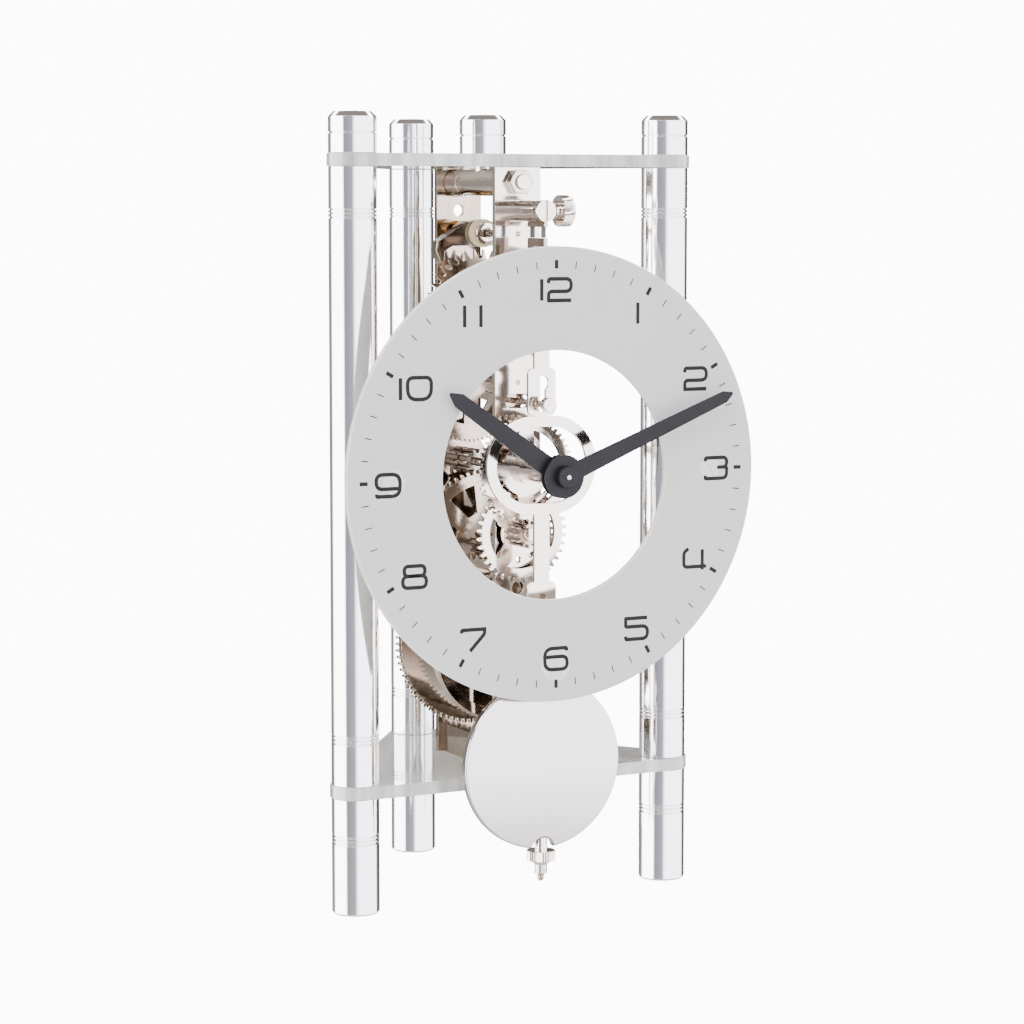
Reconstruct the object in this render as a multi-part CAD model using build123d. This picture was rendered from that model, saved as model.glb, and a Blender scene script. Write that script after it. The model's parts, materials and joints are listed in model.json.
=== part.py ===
from build123d import *
import math
import os

os.makedirs("parts", exist_ok=True)

# A table-top skeleton clock. Millimetres, +Z up, dial facing -Y, feet on Z = 0.

# --- Frame: three round pillars between two clear plates ---
CLOCK_HEIGHT = 200.0
PILLAR_X = 44.1
FRONT_ROW_Y = -18.0
REAR_ROW_Y = 42.6
KNOB_Y = -1.0
PILLAR_R = 6.0
PLATE_CORNER_R = 6.4
PLATE_T = 3.2
BOTTOM_PLATE_Z = 29.5
TOP_PLATE_Z = 186.6
STUD_R = 2.0
STUD_GAP = 0.05
PLATE_HOLE_R = 2.2
GROOVE_W = 0.45
GROOVE_DEPTH = 0.35
GROOVE_PITCH = 1.0
CAP_CHAMFER = 1.3
FOOT_GROOVE_Z = 19.0
PILLAR_GROOVE_Z = (44.3, 175.0)
CAP_GROOVE_Z = 194.8

# --- Centre lines of the movement, as (X, Z) ---
CENTER = (0.0, 110.4)
MINUTE_AXIS = (0.0, 94.2)
SECOND_AXIS = (3.7, 88.0)
BARREL_AXIS = (-1.2, 63.8)
THIRD_AXIS = (0.0, 132.3)
ESCAPE_AXIS = (0.0, 150.4)
ANCHOR_AXIS = (0.0, 169.8)
POST_Z = 175.6
SPACER_Z = 182.8
SCREW_Z = 36.5

# --- Movement plates ---
STRAP_HALF_W = 6.4
FRONT_STRAP = (-21.0, -19.4)
BACK_STRAP = (13.0, 14.6)
STRAP_Z = (BOTTOM_PLATE_Z + PLATE_T, 186.5)
PIVOT_GAP = 0.04
HUB_GAP = 0.02
ARBOR_R = 0.9
PIVOT_R = 0.6
PIVOT_HOLE_R = PIVOT_R + PIVOT_GAP
FRAME_STUD_R = 1.75
POST_STUD_R = 1.5
MINUTE_POST_R = 1.2
BARREL_PIVOT_R = 1.5
LIGHT_HOLE_R = 1.7
LIGHT_HOLE_Z = 79.9
RIVET_HOLE_R = 0.85
CLICK_PIVOT = (3.4, 78.6)
CLICK_SPRING_PIN = (-4.2, 88.0)
CLICK_SCREW_R = 0.8
RATCHET_TEETH = 16
WINDING_SQUARE = 2.6
BASE_SCREW_Y = (FRONT_STRAP[1] + 6.0, BACK_STRAP[0] - 6.0)

# --- Gear train: (teeth, module) ---
GREAT_TEETH = 78
SECOND_PINION_TEETH = 11
SECOND_TEETH = 68
CENTER_PINION_TEETH = 10
CENTER_TEETH = 90
THIRD_PINION_TEETH = 8
THIRD_TEETH = 84
ESCAPE_PINION_TEETH = 7
ESCAPE_TEETH = 36
CANNON_TEETH = 12
MINUTE_TEETH = 36
MINUTE_PINION_TEETH = 12
HOUR_TEETH = 48

# --- Levels along Y of what turns, front face then back face ---
DRUM_FRONT = -13.0
GREAT_WHEEL_Y = (1.6, 3.4)
SECOND_WHEEL_Y = (4.0, 5.2)
SECOND_PINION_Y = (-0.5, 3.9)
CENTER_PINION_Y = (2.2, 8.9)
CENTER_WHEEL_Y = (9.4, 10.6)
THIRD_WHEEL_Y = (6.0, 7.0)
THIRD_PINION_Y = (8.2, 12.0)
ESCAPE_WHEEL_Y = (1.2, 2.1)
ESCAPE_PINION_Y = (4.6, 8.2)
ANCHOR_Y = (0.2, 3.8)
CRUTCH_Y = (-17.2, -16.2)
CANNON_Y = (-24.2, -21.4)
MINUTE_WHEEL_Y = (-23.6, -22.4)
MINUTE_PINION_Y = (-27.6, -23.6)
HOUR_WHEEL_Y = (-25.8, -24.8)
CENTER_ARBOR_R = 1.2
CENTER_PIVOT_R = 0.9
BARREL_ARBOR_R = 2.0
DRUM_R = 19.0
DRUM_BORE_R = 17.8

# --- Dial and hands ---
DIAL_R = 56.6
DIAL_HOLE_R = 31.0
DIAL_Y = (-42.0, -40.4)
DIAL_POST_X = 44.1
DIAL_POST_R = 1.5
DIAL_PAD_R = 3.3
HOUR_HAND_Y = (-44.6, -44.0)
MINUTE_HAND_Y = (-46.6, -46.0)
HOUR_HAND_LENGTH = 36.9
MINUTE_HAND_LENGTH = 51.8
HOUR_HAND_ANGLE = 144.9
MINUTE_HAND_ANGLE = 21.9
HAND_HUB_R = 5.4
HAND_POINT = 0.8
HOUR_HAND_W = (5.0, 3.7)
MINUTE_HAND_W = (4.4, 3.0)
CANNON_PIPE_R = 1.4
HOUR_PIPE_R = 2.6
ARBOR_TIP_Y = -49.0

# --- Pendulum ---
PENDULUM_Y = (-34.4, -33.4)
ROD_R = 0.95
ROD_Y = -33.9
BOB_Z = 36.9
BOB_R = 21.7
BOB_Y = -34.0
BOB_T = 7.0
BOB_EDGE_T = 2.2
CRUTCH_Z = 127.6


def save(node, *solids):
    """Write the solids of one node to its own file."""
    shape = solids[0] if len(solids) == 1 else Compound(children=list(solids))
    export_step(shape, f"parts/{node}.step")


def rod_z(radius, bottom, top, x=0.0, y=0.0):
    """An upright cylinder from bottom to top."""
    return Pos(x, y, (bottom + top) / 2) * Cylinder(radius, top - bottom)


def rod_y(radius, front, back, axis):
    """A cylinder along Y from front to back, centred on axis (X, Z)."""
    x, z = axis
    return Pos(x, (front + back) / 2, z) * Rot(90, 0, 0) * Cylinder(radius, back - front)


def slab(sketch, front, back, axis=(0.0, 0.0)):
    """A flat sketch drawn in X and Z, given a thickness from front to back."""
    x, z = axis
    return Pos(x, back, z) * Rot(90, 0, 0) * extrude(sketch, back - front)


def block(x_range, y_range, z_range):
    """A box between three pairs of limits."""
    lows = [min(pair) for pair in (x_range, y_range, z_range)]
    highs = [max(pair) for pair in (x_range, y_range, z_range)]
    middle = [(low + high) / 2 for low, high in zip(lows, highs)]
    size = [high - low for low, high in zip(lows, highs)]
    return Pos(*middle) * Box(*size)


def polar(radius, degrees):
    """A point at a radius and an angle."""
    angle = math.radians(degrees)
    return (radius * math.cos(angle), radius * math.sin(angle))


def closed_face(points):
    """A flat face inside a closed run of straight edges."""
    return make_face(Polyline(*points, close=True))


# --- Wheels and pinions ---

def toothed_face(teeth, module, addendum, dedendum, width):
    """A gear outline: radial flanks to the pitch circle, then an ogive tip."""
    pitch_r = teeth * module / 2
    step = 360.0 / teeth
    half = step * width / 2
    profile = [
        (-half * 0.96, pitch_r - dedendum * module),
        (-half, pitch_r),
        (-half * 0.72, pitch_r + addendum * module * 0.55),
        (-half * 0.24, pitch_r + addendum * module),
    ]
    profile += [(-angle, radius) for angle, radius in reversed(profile)]
    points = []
    for tooth in range(teeth):
        points += [polar(radius, tooth * step + angle) for angle, radius in profile]
    return closed_face(points)


def wheel_face(teeth, module):
    """The outline of a driving wheel."""
    return toothed_face(teeth, module, 0.85, 1.05, 0.44)


def pinion_face(teeth, module):
    """The outline of a driven pinion, with slimmer leaves."""
    return toothed_face(teeth, module, 0.7, 1.15, 0.38)


def turned(face, degrees):
    """A flat face turned about its own centre."""
    return Rot(0, 0, degrees) * face


def window(inner_r, outer_r, inner_half, outer_half, middle):
    """A wheel window: outer arc, inner arc, straight sides, centred on one angle."""
    outer = ThreePointArc(
        polar(outer_r, middle - outer_half), polar(outer_r, middle), polar(outer_r, middle + outer_half)
    )
    inner = ThreePointArc(
        polar(inner_r, middle + inner_half), polar(inner_r, middle), polar(inner_r, middle - inner_half)
    )
    return make_face([outer, Line(outer @ 1, inner @ 0), inner, Line(inner @ 1, outer @ 0)])


def cut_windows(face, count, start, inner_r, outer_r, inner_half, outer_half):
    """Cut a ring of equal windows out of a wheel."""
    for index in range(count):
        face -= window(inner_r, outer_r, inner_half, outer_half, start + index * 360.0 / count)
    return face


def with_bore(face, radius):
    """Cut a round hole in the middle of a face."""
    return face - Circle(radius)


# --- Frame ---

def grooved(bar, levels, radius, x, y):
    """Cut shallow rings round an upright bar at each level."""
    for level in levels:
        ring = rod_z(radius + 1, level - GROOVE_W / 2, level + GROOVE_W / 2, x, y)
        ring -= rod_z(radius - GROOVE_DEPTH, level - GROOVE_W, level + GROOVE_W, x, y)
        bar -= ring
    return bar


def triple(level):
    """Three groove levels about a middle one."""
    return [level - GROOVE_PITCH, level, level + GROOVE_PITCH]


def frame_plate(bottom):
    """A rounded triangular plate over the three pillar centres."""
    corners = [(-PILLAR_X, FRONT_ROW_Y), (PILLAR_X, FRONT_ROW_Y), (0, REAR_ROW_Y)]
    outline = offset(closed_face(corners), PLATE_CORNER_R, kind=Kind.ARC)
    plate = Pos(0, 0, bottom) * extrude(outline, PLATE_T)
    for x, y in corners:
        plate -= rod_z(PLATE_HOLE_R, bottom - 1, bottom + PLATE_T + 1, x, y)
    return plate


def pillar_places():
    """The three pillar centres: left, right and rear."""
    return {"left": (-PILLAR_X, FRONT_ROW_Y), "right": (PILLAR_X, FRONT_ROW_Y), "rear": (0.0, REAR_ROW_Y)}


def foot(x, y):
    """A turned foot with a blind threaded hole in its top."""
    body = rod_z(PILLAR_R, 0, BOTTOM_PLATE_Z, x, y)
    body = chamfer(body.edges().group_by(Axis.Z)[0], 0.5)
    body = grooved(body, triple(FOOT_GROOVE_Z), PILLAR_R, x, y)
    return body - rod_z(STUD_R + STUD_GAP, 19.5, BOTTOM_PLATE_Z + 1, x, y)


def pillar(x, y):
    """A main pillar with grooves near both ends and a blind hole in each end."""
    bottom = BOTTOM_PLATE_Z + PLATE_T
    body = rod_z(PILLAR_R, bottom, TOP_PLATE_Z, x, y)
    for level in PILLAR_GROOVE_Z:
        body = grooved(body, triple(level), PILLAR_R, x, y)
    body -= rod_z(STUD_R + STUD_GAP, bottom - 1, bottom + 10.5, x, y)
    return body - rod_z(STUD_R + STUD_GAP, TOP_PLATE_Z - 10.5, TOP_PLATE_Z + 1, x, y)


def cap(x, y):
    """A round cap nut with one groove and a chamfered top."""
    bottom = TOP_PLATE_Z + PLATE_T
    body = rod_z(PILLAR_R, bottom, CLOCK_HEIGHT, x, y)
    body = chamfer(body.edges().group_by(Axis.Z)[-1], CAP_CHAMFER)
    body = grooved(body, [CAP_GROOVE_Z], PILLAR_R, x, y)
    return body - rod_z(STUD_R + STUD_GAP, bottom - 1, bottom + 7.5, x, y)


def build_frame():
    """Plates, pillars, feet, caps and the studs that join them."""
    bottom_plate = frame_plate(BOTTOM_PLATE_Z)
    for y in BASE_SCREW_Y:
        bottom_plate -= rod_z(1.7, BOTTOM_PLATE_Z - 1, BOTTOM_PLATE_Z + PLATE_T + 1, 0, y)
    save("bottom_plate", bottom_plate)
    top_plate = frame_plate(TOP_PLATE_Z)
    save("top_plate", top_plate - rod_z(PLATE_HOLE_R, TOP_PLATE_Z - 1, TOP_PLATE_Z + PLATE_T + 1, 0, KNOB_Y))
    places = pillar_places()
    for name, (x, y) in places.items():
        bar = pillar(x, y)
        if name != "rear":
            bar -= rod_y(DIAL_POST_R + STUD_GAP, y - PILLAR_R - 1, y - 3.0, (x, CENTER[1]))
        save(f"{name}_pillar", bar)
    save("feet", *[foot(x, y) for x, y in places.values()])
    knobs = list(places.values()) + [(0.0, KNOB_Y)]
    save("cap_nuts", *[cap(x, y) for x, y in knobs])
    studs = [rod_z(STUD_R, 20.0, 42.7, x, y) for x, y in places.values()]
    studs += [rod_z(STUD_R, 176.6, 197.0, x, y) for x, y in places.values()]
    studs.append(rod_z(STUD_R, 181.2, 197.0, 0, KNOB_Y))
    save("plate_studs", *studs)


# --- Dial ---

def build_dial():
    """The ring dial, its two posts and the clear pads behind it."""
    ring = rod_y(DIAL_R, *DIAL_Y, CENTER) - rod_y(DIAL_HOLE_R, DIAL_Y[0] - 1, DIAL_Y[1] + 1, CENTER)
    save("dial", chamfer(ring.edges(), 0.2))
    posts = []
    pads = []
    for x in (-DIAL_POST_X, DIAL_POST_X):
        axis = (x, CENTER[1])
        pad_back = DIAL_Y[1] + 0.8
        post = rod_y(DIAL_POST_R, pad_back, FRONT_ROW_Y - 3.2, axis)
        slot = block((x - 2, x + 2), (pad_back, pad_back + 0.6), (CENTER[1] - 0.25, CENTER[1] + 0.25))
        posts.append(post - slot)
        pads.append(rod_y(DIAL_PAD_R, DIAL_Y[1], pad_back, axis))
    save("dial_posts", *posts)
    save("dial_pads", *pads)


# --- Movement plates and what holds them ---

def strap(span, holes):
    """A narrow movement plate with round holes, each (radius, (X, Z))."""
    plate = block((-STRAP_HALF_W, STRAP_HALF_W), span, STRAP_Z)
    for radius, axis in holes:
        plate -= rod_y(radius, span[0] - 1, span[1] + 1, axis)
    return plate


def hex_nut(front, back, axis):
    """A hexagon nut on a stud along Y."""
    return slab(with_bore(RegularPolygon(3.4, 6), 1.8), front, back, axis)


def build_movement_frame():
    """The two straps, their spacer and base block, nuts and screws."""
    shared = [(FRAME_STUD_R + STUD_GAP, (0, SPACER_Z)), (FRAME_STUD_R + STUD_GAP, (0, SCREW_Z))]
    arbors = [(PIVOT_HOLE_R, axis) for axis in (SECOND_AXIS, THIRD_AXIS, ESCAPE_AXIS, ANCHOR_AXIS)]
    front_holes = shared + arbors + [
        (CENTER_PIVOT_R + PIVOT_GAP, CENTER), (BARREL_PIVOT_R + PIVOT_GAP, BARREL_AXIS),
        (MINUTE_POST_R + STUD_GAP, MINUTE_AXIS), (POST_STUD_R + STUD_GAP, (0, POST_Z)),
        (LIGHT_HOLE_R, (0, LIGHT_HOLE_Z)), (RIVET_HOLE_R, (0.2, 87.1)),
    ]
    back_holes = shared + arbors + [
        (CENTER_PIVOT_R + PIVOT_GAP, CENTER), (BARREL_ARBOR_R + STUD_GAP, BARREL_AXIS),
        (POST_STUD_R + STUD_GAP, (0, POST_Z)), (CLICK_SCREW_R + STUD_GAP, CLICK_PIVOT),
        (CLICK_SCREW_R + STUD_GAP, CLICK_SPRING_PIN),
    ]
    front_plate = strap(FRONT_STRAP, front_holes)
    crutch_slot = slab(SlotOverall(7.0, 3.7), FRONT_STRAP[0] - 1, FRONT_STRAP[1] + 1, (0, CRUTCH_Z))
    save("front_plate", front_plate - crutch_slot)
    save("back_plate", strap(BACK_STRAP, back_holes))

    reach = (FRONT_STRAP[0] - 3.3, BACK_STRAP[1] + 3.3)
    gap = (FRONT_STRAP[1], BACK_STRAP[0])
    spacer = rod_y(3.5, *gap, (0, SPACER_Z)) + rod_y(FRAME_STUD_R, *reach, (0, SPACER_Z))
    spacer += rod_y(3.7, gap[1] - 5.0, gap[1] - 2.0, (0, SPACER_Z))
    save("top_spacer", spacer - rod_z(STUD_R + STUD_GAP, 181.0, 190.0, 0, KNOB_Y))
    base = block((-5, 5), gap, (STRAP_Z[0], STRAP_Z[0] + 7.5)) + rod_y(FRAME_STUD_R, *reach, (0, SCREW_Z))
    screws = []
    for y in BASE_SCREW_Y:
        base -= rod_z(1.55, STRAP_Z[0] - 1, STRAP_Z[0] + 6.0, 0, y)
        screw = rod_z(1.5, BOTTOM_PLATE_Z, STRAP_Z[0] + 5.8, 0, y)
        screws.append(screw + rod_z(2.8, BOTTOM_PLATE_Z - 2.0, BOTTOM_PLATE_Z, 0, y))
    save("base_block", base)
    save("base_screws", *screws)
    nuts = []
    for z in (SPACER_Z, SCREW_Z):
        nuts.append(hex_nut(FRONT_STRAP[0] - 2.5, FRONT_STRAP[0], (0, z)))
        nuts.append(hex_nut(BACK_STRAP[1], BACK_STRAP[1] + 2.5, (0, z)))
    save("plate_nuts", *nuts)


# --- Suspension and pendulum ---

def build_suspension():
    """The slotted post, its clamp screw, and the two-leaf spring with its end blocks."""
    front = -36.7
    post = rod_y(2.7, front, FRONT_STRAP[0], (0, POST_Z))
    post += rod_y(POST_STUD_R, front + 5, FRONT_STRAP[1] + 0.8, (0, POST_Z))
    post -= block((-0.35, 0.35), (front - 1, -27.0), (POST_Z - 4, POST_Z + 4))
    screw_hole = Pos(0, -34.9, POST_Z) * Rot(0, 90, 0) * Cylinder(0.85, 8)
    save("suspension_post", post - screw_hole)
    screw = Pos(2.1, -34.9, POST_Z) * Rot(0, 90, 0) * Cylinder(0.8, 4.4)
    screw += Pos(3.55, -34.9, POST_Z) * Rot(0, 90, 0) * Cylinder(2.0, 1.3)
    screw += Pos(5.6, -34.9, POST_Z) * Rot(0, 90, 0) * Cylinder(3.95, 2.8)
    save("suspension_screw", screw)

    upper = block((-0.3, 0.3), (-36.5, -27.1), (171.6, 178.0))
    upper -= block((-1, 1), (-36.0, -33.8), (POST_Z - 1.1, POST_Z + 1.1))
    upper += block((-0.5, 0.5), (-36.5, -27.1), (171.6, 172.7))
    save("upper_spring_block", upper)
    leaves = [block((-0.08, 0.08), span, (168.95, 171.6)) for span in ((-36.3, -33.7), (-30.4, -27.8))]
    save("spring_leaves", *leaves)
    save("lower_spring_block", block((-0.5, 0.5), (-36.5, -27.1), (162.0, 168.9)))


def pendulum_sheet():
    """The flat pendulum stem: fork, strip, crutch plate, ring, strip and hook plate."""
    face = Pos(0, 150.35) * Rectangle(4.2, 33.1)
    face += Pos(0, 130.65) * Rectangle(7.7, 11.7)
    ring = Pos(0, 112.3) * (SlotOverall(30.6, 24.6) - SlotOverall(25.2, 19.2))
    face += ring
    face += Pos(0, 124.7) * Rectangle(4.2, 1.2)
    face += Pos(0, 91.9) * Rectangle(4.2, 18.0)
    face += Pos(0, 71.55) * Rectangle(8.0, 22.7)
    face -= Pos(0, 164.5) * Rectangle(1.0, 5.2)
    face -= Pos(0, 129.6) * Rectangle(2.1, 6.0)
    face -= Pos(0, 126.6) * Circle(1.05)
    face -= Pos(0, 132.8) * Circle(1.9)
    face -= Pos(0, 75.5) * SlotOverall(9.0, 2.4, rotation=90)
    return face - Pos(0, 64.0) * Circle(1.25)


def lens_profile(radius, half_middle, half_edge):
    """Half the section of a lens, to be turned about Y."""
    bulge = half_middle - half_edge
    face_r = (radius ** 2 + bulge ** 2) / (2 * bulge)
    mid_y = half_middle - face_r + math.sqrt(face_r ** 2 - (radius / 2) ** 2)
    front = ThreePointArc((0, -half_middle), (radius / 2, -mid_y), (radius, -half_edge))
    back = ThreePointArc((radius, half_edge), (radius / 2, mid_y), (0, half_middle))
    return make_face([front, Line(front @ 1, back @ 0), back, Line(back @ 1, front @ 0)])


def bob():
    """A lens-shaped bob with a bore for its rod and a notch at top and bottom."""
    disc = revolve(lens_profile(BOB_R, BOB_T / 2, BOB_EDGE_T / 2), Axis.Y, 360)
    disc = Pos(0, BOB_Y, BOB_Z) * disc
    disc -= rod_z(ROD_R + 0.1, BOB_Z - 30, BOB_Z + 30, 0, ROD_Y)
    disc -= rod_y(3.2, BOB_Y - BOB_T, BOB_Y + BOB_T, (0, BOB_Z - BOB_R))
    return disc - block((-3.2, 3.2), (BOB_Y - BOB_T, BOB_Y + BOB_T), (BOB_Z + BOB_R - 4, BOB_Z + BOB_R + 4))


def build_pendulum():
    """Stem, hanger button, threaded rod, bob and rating nut."""
    save("pendulum_rod", slab(pendulum_sheet(), *PENDULUM_Y))
    button = rod_y(4.25, PENDULUM_Y[0] - 1.5, PENDULUM_Y[0], (0, 64.0))
    button = chamfer(button.edges().group_by(Axis.Y)[0], 0.4)
    save("hanger_button", button + rod_y(1.2, PENDULUM_Y[0] - 0.5, -32.0, (0, 64.0)))
    rod = rod_z(ROD_R, 6.7, 59.4, 0, ROD_Y)
    rod = chamfer(rod.edges().group_by(Axis.Z)[0], 0.5)
    tab = block((-2.5, 2.5), (-33.35, -32.3), (57.5, 68.0))
    save("rating_rod", rod + tab - rod_y(1.25, -34.0, -31.0, (0, 64.0)))
    save("bob", bob())
    nut = rod_z(3.7, 12.2, 14.5, 0, ROD_Y) + rod_z(1.6, 8.7, 18.0, 0, ROD_Y)
    nut += Pos(0, ROD_Y, 11.6) * Cone(1.6, 3.0, 1.2)
    save("rating_nut", nut - rod_z(ROD_R + 0.05, 8.0, 19.0, 0, ROD_Y))


# --- Escapement ---

def anchor_face():
    """Two curved arms from the hub, each ending in a thin pallet beside the escape wheel."""
    half = [(0, 3.6), (4.3, 2.9), (12.4, -2.2), (12.7, -4.4), (11.3, -7.6), (10.3, -7.0)]
    half += [(10.2, -4.6), (8.0, -3.3), (4.0, -3.2), (0, -3.6)]
    right = closed_face(half)
    return right + mirror(right, about=Plane.YZ)


def build_anchor():
    """The anchor, its arbor, ring, collet and bush, and the crutch with its pin."""
    bore = ARBOR_R + HUB_GAP
    arbor = rod_y(ARBOR_R, FRONT_STRAP[1] + 0.3, BACK_STRAP[0] - 0.3, ANCHOR_AXIS)
    save("anchor_arbor", arbor + rod_y(PIVOT_R, FRONT_STRAP[0] + 0.1, BACK_STRAP[1] - 0.1, ANCHOR_AXIS))
    save("anchor", slab(with_bore(anchor_face(), bore), *ANCHOR_Y, ANCHOR_AXIS))
    ring = rod_y(3.65, -1.8, 0.1, ANCHOR_AXIS) - rod_y(bore, -3, 1, ANCHOR_AXIS)
    save("anchor_ring", chamfer(ring.edges().group_by(Axis.Y)[0], 0.3))
    save("anchor_collet", rod_y(2.9, -3.4, -1.85, ANCHOR_AXIS) - rod_y(bore, -4, -1, ANCHOR_AXIS))
    save("anchor_bush", rod_y(3.15, 6.5, 11.5, ANCHOR_AXIS) - rod_y(bore, 5, 13, ANCHOR_AXIS))

    drop = ANCHOR_AXIS[1] - CRUTCH_Z
    face = Pos(0, -drop / 2 - 1.0) * RectangleRounded(10.4, drop - 6.0, 2.0) + Circle(3.0)
    face += Pos(0, -3.0) * Rectangle(3.0, 4.0)
    face -= Pos(0, -24.0) * RectangleRounded(7.8, 30.4, 1.5)
    face += Pos(0, -drop) * RectangleRounded(6.0, 4.2, 1.0)
    crutch = slab(face - Circle(bore), *CRUTCH_Y, ANCHOR_AXIS)
    save("crutch", crutch - rod_y(0.8, CRUTCH_Y[0] - 1, CRUTCH_Y[1] + 1, (0, CRUTCH_Z)))
    pin = rod_y(0.78, -38.2, CRUTCH_Y[1], (0, CRUTCH_Z)) + rod_y(1.85, -39.0, -36.6, (0, CRUTCH_Z))
    save("crutch_pin", pin)


def escape_face():
    """A ring of raked, pointed teeth on a thin rim with five spokes."""
    tip_r = 15.3
    root_r = 12.9
    step = 360.0 / ESCAPE_TEETH
    points = []
    for tooth in range(ESCAPE_TEETH):
        start = tooth * step
        points += [polar(root_r, start), polar(tip_r, start + 4.3), polar(tip_r, start + 5.0)]
        points.append(polar(root_r, start + 6.4))
    face = cut_windows(closed_face(points), 5, 54.0, 4.2, 10.9, 20.0, 29.0)
    return with_bore(face, ARBOR_R + HUB_GAP)


# --- Train ---

def distance(first, second):
    """The distance between two centre lines."""
    return math.hypot(first[0] - second[0], first[1] - second[1])


def third_module():
    """Module of the third wheel and the escape pinion."""
    return 2 * distance(THIRD_AXIS, ESCAPE_AXIS) / (THIRD_TEETH + ESCAPE_PINION_TEETH)


def center_module():
    """Module of the centre wheel and the third pinion."""
    return 2 * distance(CENTER, THIRD_AXIS) / (CENTER_TEETH + THIRD_PINION_TEETH)


def second_module():
    """Module of the second wheel and the centre pinion."""
    return 2 * distance(CENTER, SECOND_AXIS) / (SECOND_TEETH + CENTER_PINION_TEETH)


def great_module():
    """Module of the great wheel and the second pinion."""
    return 2 * distance(SECOND_AXIS, BARREL_AXIS) / (GREAT_TEETH + SECOND_PINION_TEETH)


def line_angle(start, end):
    """The angle of the line from one centre to another, in degrees."""
    return math.degrees(math.atan2(end[1] - start[1], end[0] - start[0]))


def pinioned_arbor(axis, teeth, module, front, back, turn):
    """An arbor with pivots at both straps and a pinion between two levels."""
    arbor = rod_y(ARBOR_R, FRONT_STRAP[1] + 0.3, BACK_STRAP[0] - 0.3, axis)
    arbor += rod_y(PIVOT_R, FRONT_STRAP[0] + 0.1, BACK_STRAP[1] - 0.1, axis)
    return arbor + slab(turned(pinion_face(teeth, module), turn), front, back, axis)


def meshed_turn(driver_axis, driver_teeth, driver_turn, driven_axis, driven_teeth):
    """The turn that puts a gap of the driven gear against a tooth of its driver."""
    towards = line_angle(driver_axis, driven_axis)
    driver_phase = (towards - driver_turn) / (360.0 / driver_teeth)
    fraction = driver_phase - math.floor(driver_phase)
    step = 360.0 / driven_teeth
    return towards + 180.0 + (fraction + 0.5) * step


def build_train():
    """Second, centre and third wheels with their arbors."""
    bore = ARBOR_R + HUB_GAP
    turn = meshed_turn(BARREL_AXIS, GREAT_TEETH, 0, SECOND_AXIS, SECOND_PINION_TEETH)
    arbor = pinioned_arbor(SECOND_AXIS, SECOND_PINION_TEETH, great_module(), *SECOND_PINION_Y, turn)
    save("second_arbor", arbor)
    face = cut_windows(wheel_face(SECOND_TEETH, second_module()), 8, 117.0, 9.2, 16.4, 9.0, 14.0)
    save("second_wheel", slab(with_bore(face, bore), *SECOND_WHEEL_Y, SECOND_AXIS))

    center_pinion_turn = meshed_turn(SECOND_AXIS, SECOND_TEETH, 0, CENTER, CENTER_PINION_TEETH)
    arbor = rod_y(CENTER_ARBOR_R, FRONT_STRAP[1] + 0.3, BACK_STRAP[0] - 0.3, CENTER)
    arbor += rod_y(CENTER_PIVOT_R, ARBOR_TIP_Y + 2.6, BACK_STRAP[1] - 0.1, CENTER)
    arbor += rod_y(PIVOT_R, ARBOR_TIP_Y, ARBOR_TIP_Y + 3, CENTER)
    pinion = turned(pinion_face(CENTER_PINION_TEETH, second_module()), center_pinion_turn)
    save("center_arbor", arbor + slab(pinion, *CENTER_PINION_Y, CENTER))
    face = cut_windows(wheel_face(CENTER_TEETH, center_module()), 6, 30.0, 6.5, 16.6, 16.0, 24.0)
    save("center_wheel", slab(with_bore(face, CENTER_ARBOR_R + HUB_GAP), *CENTER_WHEEL_Y, CENTER))

    turn = meshed_turn(CENTER, CENTER_TEETH, 0, THIRD_AXIS, THIRD_PINION_TEETH)
    arbor = pinioned_arbor(THIRD_AXIS, THIRD_PINION_TEETH, center_module(), *THIRD_PINION_Y, turn)
    save("third_arbor", arbor)
    face = wheel_face(THIRD_TEETH, third_module())
    escape_turn = meshed_turn(THIRD_AXIS, THIRD_TEETH, 0, ESCAPE_AXIS, ESCAPE_PINION_TEETH)
    face = cut_windows(face, 5, 90.0, 5.6, 12.4, 14.0, 27.0)
    save("third_wheel", slab(with_bore(face, bore), *THIRD_WHEEL_Y, THIRD_AXIS))
    save("escape_wheel", slab(escape_face(), *ESCAPE_WHEEL_Y, ESCAPE_AXIS))
    arbor = pinioned_arbor(ESCAPE_AXIS, ESCAPE_PINION_TEETH, third_module(), *ESCAPE_PINION_Y, escape_turn)
    save("escape_arbor", arbor)


# --- Barrel ---

def spiral_band(inner_r, outer_r, turns, thickness):
    """A flat spiral band, wound outwards at an even pitch."""
    count = int(turns * 24)
    inside = []
    outside = []
    for index in range(count + 1):
        share = index / count
        radius = inner_r + (outer_r - inner_r) * share
        inside.append(polar(radius, 360.0 * turns * share))
        outside.append(polar(radius + thickness, 360.0 * turns * share))
    return closed_face(inside + outside[::-1])


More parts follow.
